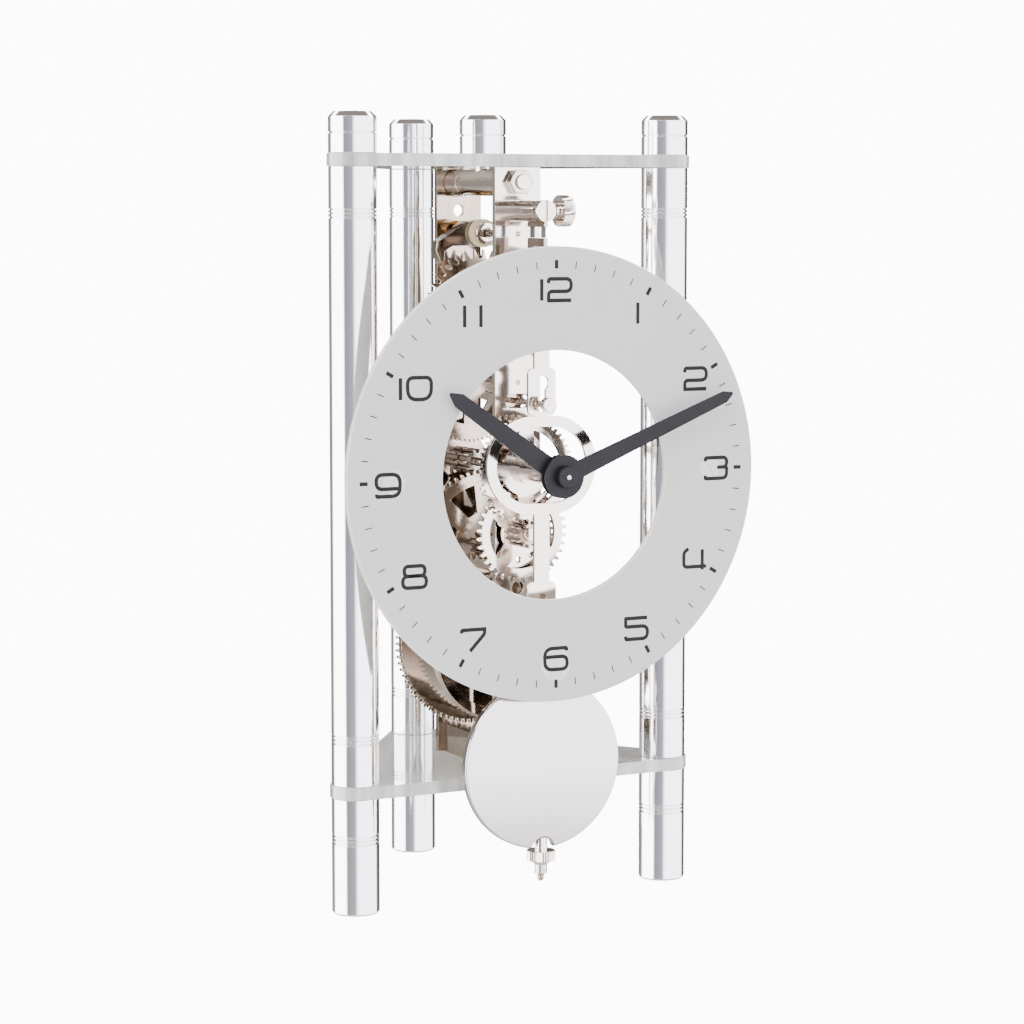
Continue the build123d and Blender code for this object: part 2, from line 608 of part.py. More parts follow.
def build_barrel():
    """Great wheel, drum, cover, mainspring, winding arbor, ratchet wheel and click."""
    wheel_front, wheel_back = GREAT_WHEEL_Y
    face = with_bore(wheel_face(GREAT_TEETH, great_module()), 4.05)
    save("great_wheel", slab(face, wheel_front, wheel_back, BARREL_AXIS))
    floor = wheel_front - 1.2
    drum = rod_y(DRUM_R, DRUM_FRONT, wheel_front, BARREL_AXIS)
    drum -= rod_y(DRUM_BORE_R, DRUM_FRONT - 1, floor, BARREL_AXIS)
    drum += rod_y(4.0, floor, wheel_back + 0.2, BARREL_AXIS)
    arbor_hole = rod_y(BARREL_ARBOR_R + STUD_GAP, DRUM_FRONT - 2, wheel_back + 2, BARREL_AXIS)
    save("barrel_drum", drum - arbor_hole)
    cover = rod_y(DRUM_R, DRUM_FRONT - 1.2, DRUM_FRONT, BARREL_AXIS)
    cover = chamfer(cover.edges().group_by(Axis.Y)[0], 0.6)
    cover += rod_y(DRUM_BORE_R - 0.1, DRUM_FRONT, DRUM_FRONT + 0.8, BARREL_AXIS)
    cover -= rod_y(16.0, DRUM_FRONT - 2, DRUM_FRONT - 0.7, BARREL_AXIS)
    save("barrel_cover", cover - arbor_hole)
    spring = spiral_band(6.0, DRUM_BORE_R - 0.9, 8.0, 0.5)
    save("mainspring", slab(spring, DRUM_FRONT + 1.4, floor - 0.6, BARREL_AXIS))

    arbor = rod_y(BARREL_ARBOR_R, -17.0, BACK_STRAP[1] + 0.3, BARREL_AXIS)
    arbor += rod_y(5.0, DRUM_FRONT + 1.1, floor - 0.4, BARREL_AXIS)
    arbor += rod_y(BARREL_PIVOT_R, FRONT_STRAP[0] + 0.1, -16.0, BARREL_AXIS)
    arbor += slab(Rectangle(WINDING_SQUARE, WINDING_SQUARE), BACK_STRAP[1], 24.5, BARREL_AXIS)
    save("barrel_arbor", arbor)


def ratchet_face(teeth, root_r, tip_r):
    """The outline of a saw-toothed ratchet wheel."""
    points = []
    step = 360.0 / teeth
    for tooth in range(teeth):
        points += [polar(root_r, tooth * step), polar(tip_r, tooth * step)]
    return closed_face(points)


def build_winding():
    """The ratchet wheel behind the back plate, with its click, click screw and spring."""
    level = (BACK_STRAP[1] + 0.4, BACK_STRAP[1] + 1.6)
    square = WINDING_SQUARE + 2 * HUB_GAP
    wheel = turned(ratchet_face(RATCHET_TEETH, 6.6, 8.2), 79.0) - Rectangle(square, square)
    save("ratchet_wheel", slab(wheel, *level, BARREL_AXIS))
    body = Circle(2.0) + closed_face([(1.2, -1.6), (-0.4, 2.0), (-4.6, -3.4), (-4.9, -6.4), (-2.4, -5.0)])
    save("click", slab(with_bore(body, CLICK_SCREW_R + PIVOT_GAP), *level, CLICK_PIVOT))
    screw = rod_y(CLICK_SCREW_R, BACK_STRAP[0] + 0.2, level[1] + 0.05, CLICK_PIVOT)
    save("click_screw", screw + rod_y(1.7, level[1] + 0.05, level[1] + 0.9, CLICK_PIVOT))
    spring_block = block((-5.6, -2.8), level, (86.6, 89.4)) + block((-3.5, -3.2), level, (77.4, 87.0))
    pin = rod_y(CLICK_SCREW_R, BACK_STRAP[0] + 0.2, level[1] + 0.6, CLICK_SPRING_PIN)
    save("click_spring", spring_block + pin)


# --- Motion work and hands ---

def build_motion_work():
    """Cannon pinion, minute wheel and pinion on their post, and the hour wheel with its pipe."""
    first = 2 * distance(CENTER, MINUTE_AXIS) / (CANNON_TEETH + MINUTE_TEETH)
    second = 2 * distance(CENTER, MINUTE_AXIS) / (MINUTE_PINION_TEETH + HOUR_TEETH)
    cannon = slab(pinion_face(CANNON_TEETH, first), *CANNON_Y, CENTER)
    cannon += rod_y(CANNON_PIPE_R, MINUTE_HAND_Y[0] - 0.3, CANNON_Y[0] + 0.2, CENTER)
    save("cannon_pinion", cannon - rod_y(CENTER_PIVOT_R + PIVOT_GAP, -48, -21, CENTER))
    minute_turn = meshed_turn(CENTER, CANNON_TEETH, 0, MINUTE_AXIS, MINUTE_TEETH)
    face = turned(wheel_face(MINUTE_TEETH, first), minute_turn)
    face = cut_windows(face, 4, 188.0, 5.5, 9.2, 22.0, 35.0)
    boss_r = MINUTE_POST_R + 0.8
    save("minute_wheel", slab(with_bore(face, boss_r + HUB_GAP), *MINUTE_WHEEL_Y, MINUTE_AXIS))
    pinion = slab(pinion_face(MINUTE_PINION_TEETH, second), *MINUTE_PINION_Y, MINUTE_AXIS)
    pinion += rod_y(boss_r, MINUTE_WHEEL_Y[0] - 0.1, MINUTE_WHEEL_Y[1] + 0.2, MINUTE_AXIS)
    save("minute_pinion", pinion - rod_y(MINUTE_POST_R + STUD_GAP, -29, -21, MINUTE_AXIS))
    post = rod_y(MINUTE_POST_R, MINUTE_PINION_Y[0] - 0.1, FRONT_STRAP[1] - 0.1, MINUTE_AXIS)
    post += rod_y(1.75, MINUTE_PINION_Y[0] - 0.7, MINUTE_PINION_Y[0] - 0.1, MINUTE_AXIS)
    save("minute_post", post + rod_y(1.8, -22.1, FRONT_STRAP[0], MINUTE_AXIS))
    hour_turn = meshed_turn(MINUTE_AXIS, MINUTE_PINION_TEETH, 0, CENTER, HOUR_TEETH)
    face = cut_windows(turned(wheel_face(HOUR_TEETH, second), hour_turn), 4, 45.0, 6.6, 10.2, 24.0, 34.0)
    hour = slab(face, *HOUR_WHEEL_Y, CENTER)
    hour += rod_y(HOUR_PIPE_R, HOUR_HAND_Y[0] - 0.3, HOUR_WHEEL_Y[0], CENTER)
    hour += rod_y(3.4, HOUR_WHEEL_Y[0] - 2.6, HOUR_WHEEL_Y[0], CENTER)
    save("hour_wheel", hour - rod_y(CANNON_PIPE_R + 0.06, -50, -24, CENTER))


def hand_face(length, root_w, tip_w, bore, angle):
    """A straight hand: round boss, gently tapering blade and a short pointed end."""
    blade = closed_face([
        (0, root_w / 2), (length - HAND_POINT * tip_w, tip_w / 2), (length, 0.3),
        (length, -0.3), (length - HAND_POINT * tip_w, -tip_w / 2), (0, -root_w / 2),
    ])
    return turned(blade + Circle(HAND_HUB_R) - Circle(bore), angle)


def build_hands():
    """Hour hand, minute hand and the knurled nut on the arbor's thread."""
    face = hand_face(HOUR_HAND_LENGTH, *HOUR_HAND_W, HOUR_PIPE_R + HUB_GAP, HOUR_HAND_ANGLE)
    save("hour_hand", slab(face, *HOUR_HAND_Y, CENTER))
    face = hand_face(MINUTE_HAND_LENGTH, *MINUTE_HAND_W, CANNON_PIPE_R + HUB_GAP, MINUTE_HAND_ANGLE)
    save("minute_hand", slab(face, *MINUTE_HAND_Y, CENTER))
    nut = rod_y(2.75, -48.6, -47.0, CENTER) - rod_y(0.94, -47.2, -46.0, CENTER)
    save("hand_nut", nut - rod_y(0.62, -50, -46, CENTER))


build_frame()
build_dial()
build_movement_frame()
build_suspension()
build_pendulum()
build_anchor()
build_train()
build_barrel()
build_winding()
build_motion_work()
build_hands()
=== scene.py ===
"""A table skeleton clock: turned pillars, clear plates, an open train, a ring dial and a pendulum.

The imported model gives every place; this script builds the finished pieces round it in metres.
"""
import json
import logging
import math
from dataclasses import dataclass, field
from enum import Enum
from functools import cache
from typing import Iterable, Optional, Sequence

import bmesh
import bpy
from mathutils import Matrix, Vector

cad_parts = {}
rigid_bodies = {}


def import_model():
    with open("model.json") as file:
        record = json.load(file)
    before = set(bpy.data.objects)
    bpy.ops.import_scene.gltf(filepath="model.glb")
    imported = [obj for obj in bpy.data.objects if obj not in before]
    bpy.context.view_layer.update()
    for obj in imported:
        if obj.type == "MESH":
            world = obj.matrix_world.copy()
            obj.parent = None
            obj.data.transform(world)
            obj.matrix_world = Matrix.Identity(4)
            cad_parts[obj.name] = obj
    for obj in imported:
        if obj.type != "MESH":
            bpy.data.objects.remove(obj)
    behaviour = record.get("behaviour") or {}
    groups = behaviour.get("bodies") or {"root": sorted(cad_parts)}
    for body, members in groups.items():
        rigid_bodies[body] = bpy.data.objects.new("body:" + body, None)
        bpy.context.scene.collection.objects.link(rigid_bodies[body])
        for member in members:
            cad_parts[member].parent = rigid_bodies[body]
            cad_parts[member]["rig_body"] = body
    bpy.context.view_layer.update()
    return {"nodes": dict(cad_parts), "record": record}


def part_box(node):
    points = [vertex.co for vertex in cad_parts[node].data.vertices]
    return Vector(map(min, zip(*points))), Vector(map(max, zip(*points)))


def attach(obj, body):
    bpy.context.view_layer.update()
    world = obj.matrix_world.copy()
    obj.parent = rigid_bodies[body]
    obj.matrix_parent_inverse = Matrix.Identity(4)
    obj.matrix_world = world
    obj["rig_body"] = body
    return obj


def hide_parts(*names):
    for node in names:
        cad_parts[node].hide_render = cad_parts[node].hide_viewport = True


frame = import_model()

MM = 0.001
LOG = logging.getLogger("skeleton_clock")

BMesh = bmesh.types.BMesh
Point2 = tuple[float, float]
Point3 = tuple[float, float, float]
Colour = tuple[float, float, float]


# --- Shader writing ---

class Wire:
    """A node output that is used in Python expressions."""

    def __init__(self, graph: "Graph", socket: bpy.types.NodeSocket) -> None:
        """Hold one output socket of a graph."""
        self.graph = graph
        self.socket = socket

    def _maths(self, operation: str, first: object, second: object) -> "Wire":
        """Add one Math node.

        Args:
            operation: The Math node's operation.
            first: Its first value or wire.
            second: Its second value or wire.

        Returns:
            The result as a wire.
        """
        return self.graph.add("ShaderNodeMath", {"operation": operation}, {0: first, 1: second})

    def __add__(self, other: object) -> "Wire":
        """Sum."""
        return self._maths("ADD", self, other)

    def __radd__(self, other: object) -> "Wire":
        """Reflected sum."""
        return self._maths("ADD", other, self)

    def __sub__(self, other: object) -> "Wire":
        """Difference."""
        return self._maths("SUBTRACT", self, other)

    def __rsub__(self, other: object) -> "Wire":
        """Reflected difference."""
        return self._maths("SUBTRACT", other, self)

    def __mul__(self, other: object) -> "Wire":
        """Product."""
        return self._maths("MULTIPLY", self, other)

    def __rmul__(self, other: object) -> "Wire":
        """Reflected product."""
        return self._maths("MULTIPLY", other, self)

    def __gt__(self, other: object) -> "Wire":
        """One where this is greater, else nothing."""
        return self._maths("GREATER_THAN", self, other)

    def __abs__(self) -> "Wire":
        """Size without sign."""
        return self._maths("ABSOLUTE", self, 0.0)


class Graph:
    """The nodes of one material or world."""

    def __init__(self, tree: bpy.types.NodeTree) -> None:
        """Start from an empty node tree."""
        self.tree = tree
        tree.nodes.clear()

    def add(self, kind: str, settings: Optional[dict] = None, inputs: Optional[dict] = None,
            out: object = 0) -> Wire:
        """Add a node, set it up and join it.

        Args:
            kind: The node's type.
            settings: Properties to set first, with a ramp's stops under "stops".
            inputs: Values or wires, by socket name or number.
            out: The output wanted, by name or number.

        Returns:
            That output as a wire.
        """
        node = self.tree.nodes.new(kind)
        for key, value in (settings or {}).items():
            if key == "stops":
                self._set_stops(node.color_ramp, value)
            else:
                setattr(node, key, value)
        for key, value in (inputs or {}).items():
            if isinstance(value, Wire):
                self.tree.links.new(value.socket, node.inputs[key])
            else:
                node.inputs[key].default_value = value
        return Wire(self, node.outputs[out]) if len(node.outputs) else Wire(self, None)

    @staticmethod
    def _set_stops(ramp: bpy.types.ColorRamp, stops: Sequence[tuple[float, Colour]]) -> None:
        """Give a ramp its stops.

        Args:
            ramp: The colour ramp.
            stops: Place and colour of each stop, in order.
        """
        while len(ramp.elements) < len(stops):
            ramp.elements.new(1.0)
        for element, (place, colour) in zip(ramp.elements, stops):
            element.position = place
            element.color = (*colour, 1.0)

    def place(self, scale: Sequence[float] = (1, 1, 1), offset: Sequence[float] = (0, 0, 0)) -> Wire:
        """Object coordinates, stretched and shifted.

        Args:
            scale: Stretch along each axis.
            offset: Shift along each axis.

        Returns:
            The vector wire.
        """
        coords = self.add("ShaderNodeTexCoord", out="Object")
        return self.add("ShaderNodeMapping", {}, {"Vector": coords, "Scale": scale, "Location": offset})

    def noise(self, where: Wire, scale: float, detail: float = 3.0) -> Wire:
        """Fractal noise between nought and one."""
        return self.add("ShaderNodeTexNoise", {}, {"Vector": where, "Scale": scale, "Detail": detail})

    def blend(self, factor: object, low: object, high: object) -> Wire:
        """Mix two colours.

        Args:
            factor: How much of the second colour.
            low: Colour or wire at nought.
            high: Colour or wire at one.

        Returns:
            The mixed colour wire.
        """
        values = {0: factor}
        for key, colour in ((6, low), (7, high)):
            values[key] = colour if isinstance(colour, Wire) else (*colour, 1.0)
        return self.add("ShaderNodeMix", {"data_type": "RGBA"}, values, out=2)

    def bump(self, height: Wire, distance: float, strength: float) -> Wire:
        """Turn a height into a normal."""
        inputs = {"Height": height, "Distance": distance, "Strength": strength}
        return self.add("ShaderNodeBump", {}, inputs)

    def part(self, vector: Wire, axis: str) -> Wire:
        """One of a vector's X, Y and Z."""
        return self.add("ShaderNodeSeparateXYZ", {}, {0: vector}, out=axis)

    def fade(self, value: Wire, span: Point2) -> Wire:
        """Nought at the first end of a span, rising to one at the second."""
        inputs = {"Value": value, "From Min": span[0], "From Max": span[1]}
        return self.add("ShaderNodeMapRange", {}, inputs)

    def surface(self, shader: Wire) -> None:
        """Join the last shader to the material's output."""
        self.add("ShaderNodeOutputMaterial", {}, {"Surface": shader})


def new_graph(name: str) -> tuple[bpy.types.Material, Graph]:
    """Make an empty material.

    Args:
        name: The material's name.

    Returns:
        The material and its graph.
    """
    material = bpy.data.materials.new(name)
    material.use_nodes = True
    return material, Graph(material.node_tree)


# --- Finishes ---

class Grain(Enum):
    """Which way the tool marks run, as the stretch of the noise along X, Y and Z."""

    ROUND_Z = (0.0, 0.0, 1900.0)
    ROUND_Y = (8.0, 6000.0, 8.0)
    ALONG_Z = (4000.0, 4000.0, 60.0)
    ALONG_X = (60.0, 4000.0, 4000.0)
    POLISHED = (300.0, 300.0, 300.0)


@dataclass(frozen=True)
class Finish:
    """A named look, whose material is built once."""

    name: str

    @cache
    def material(self) -> bpy.types.Material:
        """Build the material once and hand the same one out again.

        Returns:
            The material.
        """
        material, graph = new_graph(self.name)
        graph.surface(graph.add("ShaderNodeBsdfPrincipled", {}, self.inputs(graph)))
        return material

    def inputs(self, graph: Graph) -> dict:
        """The values and wires of the shader's inputs, which each kind of finish gives."""
        raise NotImplementedError(self.name)


@dataclass(frozen=True)
class Metal(Finish):
    """A metal with directional tool marks, a tone that wanders and a few handling marks."""

    colour: Colour
    shade: Colour
    roughness: float
    grain: Grain
    mark_depth: float
    mark_strength: float
    spread: float = 0.08
    contrast: float = 0.9
    mean_tone: float = 0.35
    handled: float = 0.15

    def inputs(self, graph: Graph) -> dict:
        """Write the metal's nodes.

        Args:
            graph: The material's graph.

        Returns:
            Values and wires by the name of the shader's input.
        """
        marks = graph.noise(graph.place(self.grain.value), 1.0, 4.0)
        cloud = graph.noise(graph.place(), 90.0, 4.0)
        handling = graph.noise(graph.place(offset=(3, 7, 2)), 420.0, 6.0)
        tone = (cloud - 0.5) * self.contrast + (marks - 0.5) * self.contrast + self.mean_tone
        return {
            "Base Color": graph.blend(tone, self.colour, self.shade), "Metallic": 1.0,
            "Roughness": self.roughness + (marks - 0.5) * self.spread * 2 + (handling - 0.5) * self.spread,
            "Normal": graph.bump(marks + handling * self.handled, self.mark_depth, self.mark_strength),
        }


@dataclass(frozen=True)
class Clear(Finish):
    """Clear acrylic plate: glossy faces and sawn edges, whose bright and dark streaks of colour are painted
    reflection.
    """

    face: Colour
    dust: Colour
    edge: Colour
    edge_shade: Colour
    face_alpha: float
    edge_alpha: float
    face_roughness: float
    edge_roughness: float = 0.12
    streak_contrast: float = 2.4
    dust_share: float = 0.3

    def inputs(self, graph: Graph) -> dict:
        """Write the acrylic's nodes.

        Args:
            graph: The material's graph.

        Returns:
            Values and wires by the name of the shader's input.
        """
        upright = graph.part(graph.add("ShaderNodeNewGeometry", out="Normal"), "Z")
        edge = 1.0 - (abs(upright) > 0.7)
        streak = graph.noise(graph.place((260, 260, 12)), 1.0, 5.0)
        lines = graph.noise(graph.place((30, 30, 1500)), 1.0, 2.0)
        # The edge colour runs in streaks between light and dark: painted reflection over the sawn edge.
        sawn_edge_with_painted_reflection = graph.blend((streak - 0.5) * self.streak_contrast + 0.5, self.edge, self.edge_shade)
        dust = graph.noise(graph.place(), 140.0, 5.0)
        face = graph.blend(dust * self.dust_share, self.face, self.dust)
        return {
            "Base Color": graph.blend(edge, face, sawn_edge_with_painted_reflection), "Metallic": 0.0, "IOR": 1.49,
            "Roughness": self.face_roughness + edge * self.edge_roughness + (dust - 0.5) * 0.03,
            "Alpha": self.face_alpha + edge * (self.edge_alpha - self.face_alpha),
            "Coat Weight": 1.0, "Coat Roughness": 0.02,
            "Normal": graph.bump(edge * (streak + lines * 0.5), 0.0002, 0.35),
        }


@dataclass(frozen=True)
class Frosted(Finish):
    """The dial's frosted plastic: satin face, a painted highlight on its rim, and painted light and shade
    where the post ends show through it.

    Each of the shown discs gives its distance from the middle sideways, its height and its radius.
    """

    face: Colour
    # Colour of the rim's side faces: a painted highlight.
    rim: Colour
    roughness: float
    face_alpha: float
    # A lighter disc is painted where a post end shows through the dial: painted light; its slot gets a
    # darker colour: painted shade.
    metal_behind: Colour
    slit: Colour
    shown: tuple[Point3, ...]
    metal_share: float = 0.6
    slit_share: float = 0.3
    slit_slope: float = 0.6
    slit_half: float = 0.0002

    def inputs(self, graph: Graph) -> dict:
        """Write the frosted plastic's nodes.

        Args:
            graph: The material's graph.

        Returns:
            Values and wires by the name of the shader's input.
        """
        across = graph.part(graph.add("ShaderNodeNewGeometry", out="Normal"), "Y")
        # Side faces take the lighter rim colour: a painted highlight on the rim.
        rim = 1.0 - (abs(across) > 0.8)
        grain = graph.noise(graph.place(), 2600.0, 2.0)
        cloud = graph.noise(graph.place(), 26.0, 3.0)
        where = graph.place()
        from_middle = abs(graph.part(where, "X"))
        height = graph.part(where, "Z")
        shaded = tuple(channel * 0.93 for channel in self.face)
        face = graph.blend(cloud * 0.5 + (grain - 0.5) * 0.3, self.face, shaded)
        # Paint each lit post end and its dark slot onto the face: painted light and painted shade.
        for x, z, radius in self.shown:
            sideways, upwards = from_middle - x, height - z
            inside = (sideways * sideways + upwards * upwards) * -1.0 > -radius ** 2
            slit = abs(sideways + upwards * self.slit_slope) * -1.0 > -self.slit_half
            face = graph.blend(inside * self.metal_share, face, self.metal_behind)
            face = graph.blend(inside * slit * self.slit_share, face, self.slit)
        return {
            "Base Color": graph.blend(rim, face, self.rim), "Metallic": 0.0, "IOR": 1.49,
            "Roughness": self.roughness + (grain - 0.5) * 0.12 - rim * 0.25,
            "Alpha": self.face_alpha + (cloud - 0.5) * 0.02,
            "Normal": graph.bump(grain, 0.00003, 0.25),
        }


@dataclass(frozen=True)
class Coated(Finish):
    """Paint or moulded plastic: even colour, fine orange peel and slight rubbing."""

    colour: Colour
    rubbed: Colour
    roughness: float
    peel: float
    specular: float = 0.14

    def inputs(self, graph: Graph) -> dict:
        """Write the coating's nodes.

        Args:
            graph: The material's graph.

        Returns:
            Values and wires by the name of the shader's input.
        """
        fine = graph.noise(graph.place(), 1800.0, 3.0)
        cloud = graph.noise(graph.place(), 160.0, 4.0)
        return {
            "Base Color": graph.blend(cloud, self.colour, self.rubbed), "Metallic": 0.0,
            "Specular IOR Level": self.specular,
            "Roughness": self.roughness + (fine - 0.5) * 0.2 + (cloud - 0.5) * 0.1,
            "Normal": graph.bump(fine, self.peel, 0.4),
        }


NICKEL = (0.82, 0.76, 0.715)
NICKEL_SHADE = (0.6, 0.52, 0.45)
# A darker copy of the nickel for the parts deep in the movement and for the barrel: painted shade, not a
# different metal.
PAINTED_SHADE_NICKEL = (0.56, 0.48, 0.40)
PAINTED_SHADE_NICKEL_DARK = (0.27, 0.21, 0.16)
TURNED = Metal("aluminium_turned", (0.9, 0.9, 0.92), (0.74, 0.74, 0.77), 0.1, Grain.ROUND_Z, 0.00004, 0.1)
STEEL_TURNED = Metal(
    "turned_steel", (0.66, 0.62, 0.56), (0.42, 0.38, 0.33), 0.1, Grain.ROUND_Y, 0.00003, 0.1,
)
SPRING_BLUE = Metal(
    "spring_leaf", (0.13, 0.14, 0.14), (0.07, 0.075, 0.07), 0.24, Grain.ALONG_Z, 0.00002, 0.3,
)
PLATED = Metal("nickel_polished", NICKEL, NICKEL_SHADE, 0.1, Grain.POLISHED, 0.00002, 0.1, 0.05)
PLATED_LINED = Metal("nickel_lined", NICKEL, NICKEL_SHADE, 0.09, Grain.ALONG_Z, 0.00002, 0.1, 0.06)
PLATED_TURNED = Metal("nickel_turned", NICKEL, NICKEL_SHADE, 0.1, Grain.ROUND_Y, 0.00003, 0.08, 0.05)
WHEEL_SATIN = Metal("nickel_wheel", NICKEL, NICKEL_SHADE, 0.12, Grain.ALONG_X, 0.00002, 0.12, 0.08)
WHEEL_PAINTED_SHADE = Metal("nickel_wheel_painted_shade", PAINTED_SHADE_NICKEL, PAINTED_SHADE_NICKEL_DARK, 0.1, Grain.ALONG_X, 0.00002, 0.1, 0.08)
PLATE_PAINTED_SHADE = Metal(
    "nickel_plate_painted_shade", PAINTED_SHADE_NICKEL, PAINTED_SHADE_NICKEL_DARK, 0.08, Grain.ALONG_Z, 0.00002, 0.1, 0.06,
)
TURNED_PAINTED_SHADE = Metal(
    "nickel_turned_painted_shade", PAINTED_SHADE_NICKEL, PAINTED_SHADE_NICKEL_DARK, 0.1, Grain.ROUND_Y, 0.00003, 0.1, 0.06,
)
MIRROR_BOB = Metal(
    "nickel_bob", (0.6, 0.575, 0.575), (0.54, 0.515, 0.515), 0.05, Grain.POLISHED, 0.000005, 0.05, 0.03,
)
DARK_STEEL = Metal(
    "blackened_steel", (0.45, 0.41, 0.37), (0.2, 0.17, 0.15), 0.08, Grain.ALONG_X, 0.00002, 0.15,
)
CUT_STEEL = Metal("steel_cut", (0.5, 0.46, 0.41), (0.26, 0.22, 0.19), 0.1, Grain.ROUND_Y, 0.00003, 0.08)
TURNED_BRASS = Metal("brass_turned", (0.75, 0.49, 0.2), (0.5, 0.3, 0.1), 0.18, Grain.ROUND_Y, 0.00003, 0.3)
# The two edge colours are painted reflection.
CLEAR_PLATE = Clear(
    "acrylic_plate", (0.74, 0.735, 0.71), (0.6, 0.6, 0.58), (0.8, 0.8, 0.785), (0.26, 0.265, 0.26),
    0.9, 1.0, 0.03,
)
# The last two colours paint the lit post ends and their dark slots: painted light and painted shade.
DIAL_FROST = Frosted(
    "dial_frost", (0.71, 0.69, 0.69), (0.9, 0.9, 0.89), 0.4, 0.985, (1.0, 0.95, 0.92), (0.35, 0.3, 0.27),
    ((44.1 * MM, 110.4 * MM, 2.9 * MM), (0.0, 62.9 * MM, 4.1 * MM)),
)
NYLON_CREAM = Coated("nylon_cream", (0.96, 0.85, 0.64), (0.86, 0.72, 0.5), 0.4, 0.00002)
HAND_BLACK = Coated("hand_paint", (0.009, 0.009, 0.012), (0.018, 0.018, 0.022), 0.4, 0.00002)
DIAL_INK = Coated("dial_ink", (0.008, 0.008, 0.01), (0.014, 0.014, 0.017), 0.55, 0.00001)

SLOT_FINISH: dict[str, Finish] = {
    "steel_fastener": STEEL_TURNED,
    "polished_nickel": PLATED,
    "cut_steel": CUT_STEEL,
    "black_steel": DARK_STEEL,
    "spring_steel": SPRING_BLUE,
}


# --- The bench: shapes and finished pieces ---

class Axis(Enum):
    """The axis that a turned shape stands on, as a turn of the Z axis."""

    X = Matrix.Rotation(math.radians(90), 3, "Y")
    Y = Matrix.Rotation(math.radians(-90), 3, "X")
    Z = Matrix.Identity(3)


def slot_of(node: str) -> str:
    """The record's material slot of a CAD node."""
    return next(part["material_slot"] for part in frame["record"]["subparts"] if part["node"] == node)


def middle(node: str) -> Vector:
    """The middle of a CAD node's box."""
    low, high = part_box(node)
    return (low + high) / 2


def placed(name: str, data: bpy.types.ID) -> bpy.types.Object:
    """Make an object and link it to the scene.

    Args:
        name: The object's name.
        data: Its mesh, light or camera.

    Returns:
        The object.
    """
    made = bpy.data.objects.new(name, data)
    bpy.context.scene.collection.objects.link(made)
    return made


def as_mesh(name: str, bm: BMesh) -> bpy.types.Mesh:
    """Write a shape to a new mesh.

    Args:
        name: The mesh's name.
        bm: The shape, which is used up.

    Returns:
        The mesh.
    """
    mesh = bpy.data.meshes.new(name)
    bm.to_mesh(mesh)
    bm.free()
    return mesh


def bevel(bm: BMesh, edges: Sequence[bmesh.types.BMEdge], offset: float, segments: int) -> None:
    """Round some edges of a mesh by an offset in metres."""
    bmesh.ops.bevel(
        bm, geom=edges, offset=offset, offset_type="OFFSET", segments=segments, profile=0.5,
        affect="EDGES", clamp_overlap=True, material=-1,
    )


def soften(bm: BMesh, width: float, angle: float = 28.0) -> BMesh:
    """Round every edge that is sharper than an angle.

    Args:
        bm: The mesh to work on.
        width: Width of the rounding in metres.
        angle: The least angle between faces, in degrees.

    Returns:
        The same mesh.
    """
    limit = math.radians(angle)
    sharp = [edge for edge in bm.edges if edge.is_manifold and edge.calc_face_angle(0.0) > limit]
    if sharp and width > 0:
        bevel(bm, sharp, width, 2)
    return bm


def lathe(profile: Sequence[Point2], width: float = 0.05 * MM, steps: int = 96) -> BMesh:
    """Spin a profile about Z.

    Args:
        profile: Radius and height of each point in millimetres; a ring's profile ends where it starts.
        width: Rounding of its sharp edges in metres.
        steps: Facets in the full turn.

    Returns:
        The closed, turned mesh.
    """
    bm = bmesh.new()
    verts = [bm.verts.new((radius * MM, 0.0, height * MM)) for radius, height in profile]
    edges = [bm.edges.new(pair) for pair in zip(verts, verts[1:])]
    bmesh.ops.spin(
        bm, geom=verts + edges, cent=(0, 0, 0), axis=(0, 0, 1), dvec=(0, 0, 0),
        angle=math.tau, steps=steps, use_merge=True, use_duplicate=False,
    )
    bmesh.ops.remove_doubles(bm, verts=bm.verts, dist=1e-7)
    bmesh.ops.recalc_face_normals(bm, faces=bm.faces)
    return soften(bm, width)


def bar(radius: float, low: float, high: float, width: float = 0.1 * MM,
        steps: int = 64) -> BMesh:
    """A turned bar with flat ends, sizes in millimetres."""
    return lathe([(0, low), (radius, low), (radius, high), (0, high)], width, steps)


def ring(inner: float, outer: float, low: float, high: float, width: float = 0.08 * MM,
         steps: int = 96) -> BMesh:
    """A turned ring with a square section, sizes in millimetres."""
    corners = [(inner, low), (outer, low), (outer, high), (inner, high), (inner, low)]
    return lathe(corners, width, steps)


def block(size: Sequence[float], centre: Sequence[float]) -> BMesh:
    """A square block about a point, sizes in metres.

    Args:
        size: Its length along X, Y and Z.
        centre: The point.

    Returns:
        The closed mesh.
    """
    bm = bmesh.new()
    bmesh.ops.create_cube(bm, size=1.0)
    bmesh.ops.scale(bm, vec=size, verts=bm.verts)
    bmesh.ops.translate(bm, vec=centre, verts=bm.verts)
    return bm


